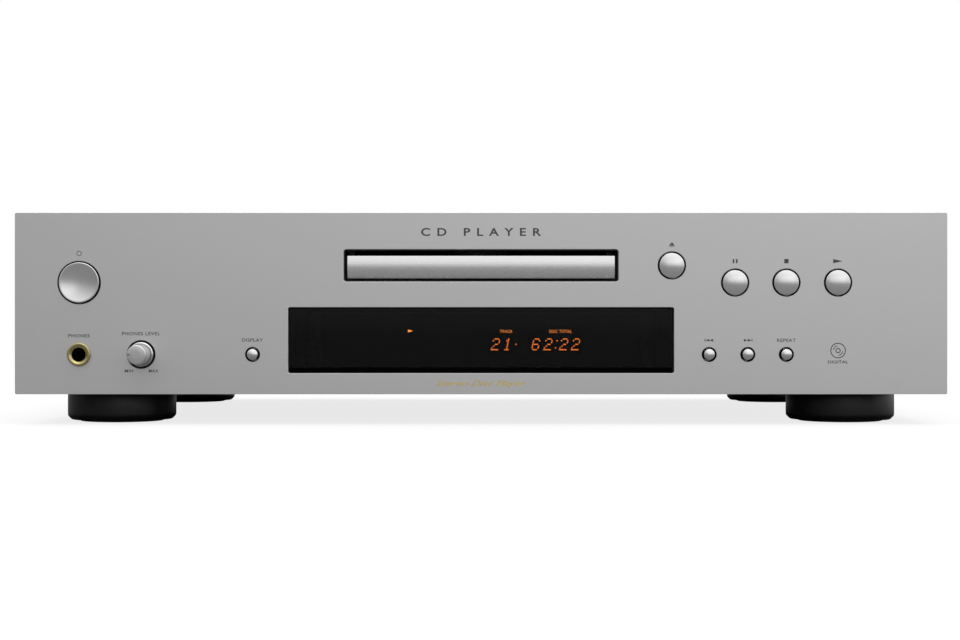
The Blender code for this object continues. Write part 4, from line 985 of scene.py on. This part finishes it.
# %% Words on the front
for name, words, node, dx, up, height, width in (
    ("label_phones", "PHONES", "phones_jack_nut", 0.0, 8.7, 1.55, 10.0),
    ("label_phones_level", "PHONES LEVEL", "phones_level_knob", 0.0, 9.7, 1.6, 17.8),
    ("label_min", "MIN", "phones_level_knob", -5.6, -7.7, 1.35, 3.9),
    ("label_max", "MAX", "phones_level_knob", 5.9, -7.7, 1.35, 4.4),
    ("label_display", "DISPLAY", "display_button", 0.0, 6.7, 1.55, 9.7),
    ("label_repeat", "REPEAT", "repeat_button", 0.0, 6.6, 1.55, 8.7),
):
    spot = on_face(node, INK / 2) + Vector((dx * MM, 0, up * MM))
    complete(printed(words, spot, height * MM, width * MM, spacing=1.1), name, "grey_ink")

title = Vector((0, FACE - INK / 2, 89.9 * MM))
complete(printed("CD PLAYER", title, 3.8 * MM, 56 * MM, spacing=1.9, bold=0.02), "label_title", "title_ink")
script = Vector((0, FACE - INK / 2, 19.0 * MM))
complete(printed("Stereo Disc Player", script, 3.4 * MM, 42 * MM, lean=0.42), "label_script", "gold_ink")

# %% [markdown]
# The symbols over the transport buttons are the usual ones: a bar or square for pause and stop, triangles for
# play, eject and skip.

# %% Symbols on the front
RIGHT, LEFT, UP = -math.pi / 2, math.pi / 2, 0.0


def over(node, up):
    """The place of a symbol above a button."""
    spot = on_face(node)
    return spot.x, spot.z + up * MM


x, z = over("play_button", 10.0)
symbols = {"symbol_play": [shape_on_face(3, x, z, 4.6 * MM, 1.9 * MM, RIGHT)]}
x, z = over("stop_button", 10.0)
symbols["symbol_stop"] = [shape_on_face(4, x, z, 2.0 * MM, 2.0 * MM)]
x, z = over("pause_button", 10.0)
symbols["symbol_pause"] = [shape_on_face(4, x + side * 0.75 * MM, z, 0.75 * MM, 1.9 * MM) for side in (-1, 1)]
x, z = over("eject_button", 10.2)
symbols["symbol_eject"] = [
    shape_on_face(3, x, z, 2.4 * MM, 1.3 * MM, UP), shape_on_face(4, x, z - 1.1 * MM, 2.4 * MM, 0.5 * MM),
]
for node, side, way in (("previous_button", -1, LEFT), ("next_button", 1, RIGHT)):
    x, z = over(node, 6.6)
    symbols[node.replace("button", "symbol")] = [
        shape_on_face(4, x + side * 1.95 * MM, z, 0.35 * MM, 1.3 * MM),
        shape_on_face(3, x + side * 0.85 * MM, z, 1.8 * MM, 1.3 * MM, way),
        shape_on_face(3, x - side * 0.95 * MM, z, 1.8 * MM, 1.3 * MM, way),
    ]
x, z = over("power_button", 13.6)
symbols["symbol_power"] = [ring_on_face(x, z, 1.05 * MM, 0.28 * MM)]
for name, (first, *others) in symbols.items():
    complete(merge(first, *others) if others else first, name, "grey_ink")

# %% [markdown]
# A plain disc stands at the lower right: an outer ring, a hub, and two arcs of its shine, with one plain word under
# it. It says what goes in, without being anybody's badge.

# %% Disc sign
sign_x, sign_z = 166.5 * MM, 34.6 * MM
arcs = ring_on_face(sign_x, sign_z, 2.2 * MM, 0.34 * MM)
bpy.ops.object.mode_set(mode="EDIT")
pick("faces", lambda f: (f.calc_center_median().x - sign_x) * (f.calc_center_median().z - sign_z) > -0.6e-6)
bpy.ops.mesh.delete(type="FACE")
bpy.ops.mesh.select_all(action="SELECT")
bpy.ops.mesh.fill_holes(sides=0)
bpy.ops.object.mode_set(mode="OBJECT")
outer = ring_on_face(sign_x, sign_z, 3.4 * MM, 0.42 * MM)
hub = ring_on_face(sign_x, sign_z, 1.0 * MM, 0.4 * MM)
complete(merge(outer, hub, arcs), "disc_sign", "grey_ink")
below = Vector((sign_x, FACE - INK / 2, sign_z - 5.3 * MM))
complete(printed("DIGITAL", below, 1.4 * MM, 9.5 * MM), "label_digital", "grey_ink")

# %% [markdown]
# The display has two small lit words and a play mark above the figures. They are segments of the same tube, so
# they glow the same way.

# %% Lit words
for name, words, x, width in (("lit_track", "TRACK", 11.8, 5.9), ("lit_total", "DISC TOTAL", 37.4, 10.4)):
    spot = Vector((x * MM, display_front, 43.5 * MM))
    complete(printed(words, spot, 1.45 * MM, width * MM, spacing=1.2, bold=-0.01), name, "lit_words")
play_mark = shape_on_face(3, -33.2 * MM, 43.7 * MM, 2.4 * MM, 1.4 * MM, RIGHT)
for point in play_mark.data.vertices:
    point.co.y += display_front - FACE
complete(play_mark, "lit_play_mark", "lit_words")

# %% [markdown]
# ## Slot liner
#
# A thin black lip of the moulded frame lines the tray slot, so that the tray's front stands in a dark surround.
# It is a block with a smaller block cut out of it.

# %% Slot liner
liner_low = Vector((tray_low.x - 1.58 * MM, FACE + 0.7 * MM, tray_low.z - 1.33 * MM))
liner_high = Vector((tray_high.x + 1.58 * MM, FACE + 5.1 * MM, tray_high.z + 2.88 * MM))
wall = Vector((0.4 * MM, -MM, 0.4 * MM))
liner = round_corners(block(liner_low, liner_high), Y, 1.28 * MM, 4)
carve(liner, round_corners(block(liner_low + wall, liner_high - wall), Y, 0.9 * MM, 4))
complete(liner, "slot_liner", "black_plastic")

# %% [markdown]
# ## Tray
#
# The tray is one injection moulding: two round wells, an open throat for the pickup, and a rack under its left
# edge. Its outline and wells are right in the frame already, so it is copied, its loose triangles are merged back
# into flat faces, and its edges are rounded as the mould rounds them. A moulded part without rounded edges shows
# no highlights and looks like paper. The mains inlet is made in the same way later.

# %% A copy with rounded edges


def rounded_copy(node, width, angle=30, flat=3):
    """A copy of a part in which coplanar triangles are merged and every sharp edge is rounded."""
    piece = copy_to(nodes[node], (0, 0, 0))
    for key in list(piece.keys()):
        del piece[key]
    piece.parent = None
    take(piece)
    bpy.ops.object.mode_set(mode="EDIT")
    bpy.ops.mesh.select_all(action="SELECT")
    bpy.ops.mesh.customdata_custom_splitnormals_clear()
    bpy.ops.mesh.remove_doubles(threshold=0.001 * MM)
    bpy.ops.mesh.dissolve_limited(angle_limit=math.radians(flat))
    bpy.ops.object.mode_set(mode="OBJECT")
    return soften(piece, width, angle=angle)


complete(rounded_copy("disc_tray", 0.25 * MM), "tray_moulding", "tray_plastic", "tray", ["disc_tray"])

# %% [markdown]
# Short ribs stand in two groups on the front rim of the tray, left and right of the well, where a finger pushes
# the tray shut. One rib is modelled and copied.

# %% Tray ribs
RIBS_A_SIDE, RIB_PITCH, SIDES_APART = 4, 4 * MM, 87 * MM
rim_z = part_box("disc_tray")[0].z + 8.0 * MM
tray_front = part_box("disc_tray")[0].y
first_rib = (-50 * MM, tray_front + 3.2 * MM, rim_z - 0.1 * MM)
rib = soften(block_at(first_rib, (0, 0, 0), (1.0, 6.3, 0.45)), 0.15 * MM, 2)
ribs = [rib] + [copy_to(rib, (i * RIB_PITCH, 0, 0)) for i in range(1, RIBS_A_SIDE)]
ribs += [copy_to(rib, (SIDES_APART + i * RIB_PITCH, 0, 0)) for i in range(RIBS_A_SIDE)]
complete(merge(*ribs), "tray_ribs", "tray_plastic", "tray")

# %% [markdown]
# ## Cover
#
# The cover is one folded sheet of steel: two sides, a top, and a short lip that hangs over the rear panel. A sheet
# is easiest to make as a surface first. Three faces of a block are deleted, the rear edge of the top is extruded
# down for the lip, and the folds are bevelled. Solidify then gives it its 1 mm, and the vents are cut last, each
# with round ends as a punch leaves them.

# %% Cover sheet
cover_low, cover_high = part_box("top_cover")
rear_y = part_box("rear_panel")[1].y
SHEET, FOLD, LIP = 1.0 * MM, 2 * MM, 8 * MM
cover = block(cover_low, cover_high)
bpy.ops.object.mode_set(mode="EDIT")
pick("faces", lambda f: abs(f.normal.y) > 0.9 or f.normal.z < -0.9)
bpy.ops.mesh.delete(type="FACE")
pick("edges", lambda e: all(v.co.y > cover_high.y - MM and v.co.z > cover_high.z - MM for v in e.verts))
bpy.ops.mesh.extrude_edges_move(TRANSFORM_OT_translate={"value": (0, 0, -LIP)})
pick("edges", lambda e: all(v.co.z > cover_high.z - MM for v in e.verts) and len(e.link_faces) == 2)
bpy.ops.mesh.bevel(offset=FOLD, segments=5, affect="EDGES", clamp_overlap=False)
bpy.ops.mesh.select_all(action="SELECT")
bpy.ops.mesh.normals_make_consistent(inside=False)
bpy.ops.object.mode_set(mode="OBJECT")
if sum(face.normal.z * face.area for face in cover.data.polygons) < 0:
    cover.data.flip_normals()
apply_modifier(cover, "SOLIDIFY", thickness=SHEET, offset=-1, use_even_offset=True)

# %% Vents
VENTS_A_GROUP, VENT_PITCH, GROUPS_APART = 12, 8 * MM, 270 * MM
VENT_WIDE, VENT_LONG = 3, 45
first_vent = (-178 * MM, FACE + 170 * MM, cover_high.z)
vent = round_corners(block_at(first_vent, (0, 0, -3), (VENT_WIDE, VENT_LONG, 2)), Z, 1.45 * MM, 4)
vents = [copy_to(vent, (group + i * VENT_PITCH, 0, 0)) for group in (0, GROUPS_APART) for i in range(VENTS_A_GROUP)]
bpy.data.objects.remove(vent)
carve(cover, *vents)
soften(cover, 0.15 * MM, 2, 40)
complete(cover, "cover_shell", "painted_steel", replaces=["top_cover"], smooth=40)

# %% [markdown]
# ## Feet
#
# Each foot is a broad black drum with a bevelled lower edge and a softly rounded upper one. A rubber pad with three
# shallow grooves is let into its underside, and the hole for its screw goes up through the middle. One foot and one
# pad are turned, and the other three of each are copies.

# %% Feet


def radius_of(node):
    """Half the width of a round part."""
    low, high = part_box(node)
    return (high.x - low.x) / 2


foot_at = middle("foot_front_left")
foot_at.z = 0
foot_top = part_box("foot_front_left")[1].z
foot_radius, pad_radius = radius_of("foot_front_left"), radius_of("foot_pad_front_left")

drum = turn(
    foot_at,
    [
        mm(20.3, 0.8), mm(23.9, 0.8), mm(24.3, 0.95), mm(25.7, 2.35),
        mm(25.92, 2.8), (foot_radius, 4.0 * MM), (foot_radius, foot_top - 0.5 * MM),
        (foot_radius - 0.15 * MM, foot_top - 0.15 * MM), (foot_radius - 0.5 * MM, foot_top),
    ],
    "up", 160,
)
carve(
    drum,
    turn(foot_at, [mm(4, -5), (4 * MM, foot_top + 5 * MM)], "up", 48),
    turn(foot_at, [(pad_radius + 0.3 * MM, -1 * MM), (pad_radius + 0.3 * MM, 1.9 * MM)], "up", 96),
)
pad = turn(
    foot_at,
    [(pad_radius - 0.4 * MM, 0), (pad_radius - 0.1 * MM, 0.1 * MM), (pad_radius, 0.4 * MM), (pad_radius, 1.6 * MM)],
    "up", 96,
)
GROOVE_OUTSIDES, GROOVE_WIDE = (9.6, 13.2, 16.8), 0.8
grooves = []
for outside in GROOVE_OUTSIDES:
    groove, inside = turn(foot_at, [mm(outside, -1), mm(outside, 0.35)], "up", 72), outside - GROOVE_WIDE
    grooves.append(carve(groove, turn(foot_at, [mm(inside, -2), mm(inside, 2)], "up", 72)))
carve(pad, turn(foot_at, [mm(4, -5), mm(4, 5)], "up", 48), *grooves)

CORNERS = ("front_left", "front_right", "rear_left", "rear_right")
for kind, model, finish_name in (("foot", drum, "foot_plastic"), ("foot_pad", pad, "rubber")):
    pieces = {}
    for corner in CORNERS:
        shift = middle(f"{kind}_{corner}") - middle(f"{kind}_front_left")
        pieces[corner] = model if corner == "front_left" else copy_to(model, shift)
    for corner, piece in pieces.items():
        name = f"{kind}_{corner}".replace("foot_pad", "pad").replace("foot_", "drum_")
        complete(piece, name, finish_name, replaces=[f"{kind}_{corner}"], smooth=30)

# %% [markdown]
# ## Screws
#
# One pan-head screw is turned, and a cross is sunk into its head by two thin blocks. It is copied to every place
# where the case is screwed together: the rear panel, the lip of the cover, and both sides.

# %% One screw
TOWARDS.update(left=Vector((-1, 0, 0)), right=Vector((1, 0, 0)))
SCREW_RINGS = [
    mm(1.5, -3), mm(1.5, 0), mm(3.0, 0), mm(3.0, 0.5), mm(2.8, 1.0), mm(2.3, 1.4), mm(1.4, 1.65), mm(0.6, 1.7),
]
CROSS_AT = 1.4 * MM


def screw_model(facing):
    """A pan-head screw at the origin, with a sunk cross, facing one way."""
    head = turn((0, 0, 0), SCREW_RINGS, facing, 40)
    way = TOWARDS[facing]
    depth = max(range(3), key=lambda i: abs(way[i]))
    for across in (X, Z if depth == Y else Y):
        reach = Vector(mm(0.35, 0.35, 0.35))
        reach[across] = 1.5 * MM
        reach[depth] = 0.8 * MM
        head = carve(head, block(way * CROSS_AT - reach, way * CROSS_AT + reach))
    return head


PLACES = {
    "rear": [(x * MM, rear_y, 26 * MM) for x in (-207, -60, 60, 207)]
    + [(x * MM, rear_y, 52 * MM) for x in (-148, -188, 84, 134, 187)],
    "lip": [(x * MM, cover_high.y, cover_high.z - 4 * MM) for x in (-190, 0, 190)],
    "left": [(cover_low.x, y * MM, 40 * MM) for y in (-80, 90)],
    "right": [(cover_high.x, y * MM, 40 * MM) for y in (-80, 90)],
}

# %% Screws in their places
for group, places in PLACES.items():
    facing = "rear" if group == "lip" else group
    model = screw_model(facing)
    for i, place in enumerate(places):
        complete(copy_to(model, Vector(place)), f"screw_{group}_{i + 1}", "screw_steel", smooth=40)
    bpy.data.objects.remove(model)

# %% [markdown]
# ## Rear panel and sockets
#
# The rear panel is a flat black sheet with a hole for every socket, cut like the front. Each phono socket is a
# plated tube with a coloured insulator, white for left, red for right and amber for the digital output. The mains
# inlet keeps its two pins deep inside, and the optical output has a square shutter.

# %% Rear plate
rear_low, rear_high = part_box("rear_panel")
analog_low, analog_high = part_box("analog_output_jacks")
digital_low, digital_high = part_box("digital_output_jacks")
inlet_low, inlet_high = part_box("ac_inlet")
remote_at = middle("remote_jack")
socket_z = remote_at.z
PHONO = {
    "left": (analog_low.x + 9 * MM, "ivory_plastic"),
    "right": (analog_high.x - 9 * MM, "red_plastic"),
    "coaxial": (digital_high.x - 9 * MM, "amber_plastic"),
}
optical_x, inlet_x = digital_low.x + 8 * MM, (inlet_low.x + inlet_high.x) / 2


def rear_point(x, reach=0.0):
    """A point on the rear panel's outside, at the height of the sockets."""
    return Vector((x, rear_y + reach, socket_z))


REAR_CUT = 8
rear_plate = round_corners(block(rear_low, rear_high), Y, 3.5 * MM, 5)
rear_cutters = [drill(rear_point(x), 4.9 * MM, REAR_CUT * MM, "rear", 64) for x, _ in PHONO.values()]
rear_cutters.append(drill(rear_point(remote_at.x), 3.9 * MM, REAR_CUT * MM, "rear", 64))
for x, half, high, corner in ((inlet_x, 10.3, 6.3, 3.0), (optical_x, 5.3, 5.3, 0.5)):
    cutter = block_at(rear_point(x), (-half, -REAR_CUT, -high), (half, REAR_CUT, high))
    rear_cutters.append(round_corners(cutter, Y, corner * MM))
carve(rear_plate, *rear_cutters)
soften(rear_plate, 0.1 * MM, 1)
complete(rear_plate, "rear_plate", "rear_paint", replaces=["rear_panel"])

# %% Phono sockets
tube_reach = analog_high.y - rear_y
first_x = PHONO["left"][0]
shell = turn(
    rear_point(first_x),
    [
        mm(4.15, -3), mm(4.15, 0.3), mm(6.2, 0.3), mm(6.4, 0.5),
        mm(6.4, 1.9), mm(6.1, 2.4), mm(4.15, 2.4), (4.15 * MM, tube_reach - 0.35 * MM),
        (4.0 * MM, tube_reach - 0.08 * MM), (3.8 * MM, tube_reach),
    ],
    "rear", 64,
)
carve(shell, turn(rear_point(first_x), [mm(3.45, -4), mm(3.45, 12)], "rear", 64))
core = turn(
    rear_point(first_x),
    [
        mm(3.4, -3), (3.4 * MM, tube_reach - 0.7 * MM), (3.2 * MM, tube_reach - 0.5 * MM),
        (2.4 * MM, tube_reach - 0.5 * MM),
    ],
    "rear", 64,
)
carve(core, turn(rear_point(first_x), [mm(1.7, -1), mm(1.7, 12)], "rear", 48))
for side, (x, insulator) in PHONO.items():
    shift = (x - first_x, 0, 0)
    complete(copy_to(shell, shift), f"phono_shell_{side}", "gilt_metal", smooth=40)
    complete(copy_to(core, shift), f"phono_core_{side}", insulator, smooth=40)
for model in (shell, core):
    bpy.data.objects.remove(model)

# %% Socket housings
inner = rear_y - 1.5 * MM
for name, node, low, high in (
    ("analog_housing", "analog_output_jacks", analog_low, analog_high),
    ("digital_housing", "digital_output_jacks", digital_low, digital_high),
):
    housing = soften(block(low, (high.x, inner, high.z)), 0.4 * MM, 2)
    complete(housing, name, "socket_plastic", replaces=[node])

optical_at = rear_point(optical_x)
frame_box = round_corners(block_at(optical_at, (-5, -2, -5), (5, 1.2, 5)), Y, 0.6 * MM, 3)
carve(frame_box, block_at(optical_at, (-3, -0.2, -3), (3, 3, 3)))
complete(soften(frame_box, 0.15 * MM, 1), "optical_frame", "socket_plastic")
shutter = soften(block_at(optical_at, (-2.9, -0.15, -2.9), (2.9, 0.35, 2.9)), 0.12 * MM, 2)
complete(shutter, "optical_shutter", "grey_plastic")

# %% Mains inlet and remote jack
inlet = rounded_copy("ac_inlet", 0.25 * MM, 40, 1)
complete(inlet, "mains_inlet", "socket_plastic", replaces=["ac_inlet"])
pin = turn(
    rear_point(inlet_x - 4.3 * MM),
    [mm(1.22, -11), mm(1.22, -1.6), mm(1.1, -1.1), mm(0.7, -0.95)],
    "rear", 32,
)
for side, piece in (("right", copy_to(pin, (8.6 * MM, 0, 0))), ("left", pin)):
    complete(piece, f"mains_pin_{side}", "motor_steel", smooth=40)

remote = turn(
    rear_point(remote_at.x),
    [mm(5, -14), mm(5, -1.5), mm(3.5, -1.5), mm(3.5, 1.7), mm(3.2, 2), mm(2.4, 2)],
    "rear", 48,
)
carve(remote, turn(rear_point(remote_at.x), [mm(1.8, -12), mm(1.8, 5)], "rear", 48))
complete(remote, "remote_socket", "socket_plastic", replaces=["remote_jack"], smooth=40)

# %% Words at the rear
for name, words, x, up, height, width in (
    ("rear_analog", "ANALOG OUT", 160 * MM, 11.0, 1.7, 17),
    ("rear_left", "L", PHONO["left"][0], 8.6, 1.6, 1.0),
    ("rear_right", "R", PHONO["right"][0], 8.6, 1.6, 1.2),
    ("rear_digital", "DIGITAL OUT", 108 * MM, 11.0, 1.7, 17),
    ("rear_coaxial", "COAXIAL", PHONO["coaxial"][0], -9.2, 1.5, 9.5),
    ("rear_optical", "OPTICAL", optical_x, -9.2, 1.5, 9.5),
    ("rear_remote", "REMOTE", remote_at.x, 8.0, 1.5, 9.0),
    ("rear_inlet", "AC INLET", inlet_x, 12.5, 1.7, 11.5),
):
    spot = rear_point(x, INK / 2) + Vector((0, 0, up * MM))
    complete(printed(words, spot, height * MM, width * MM, "rear", spacing=1.05), name, "white_ink")
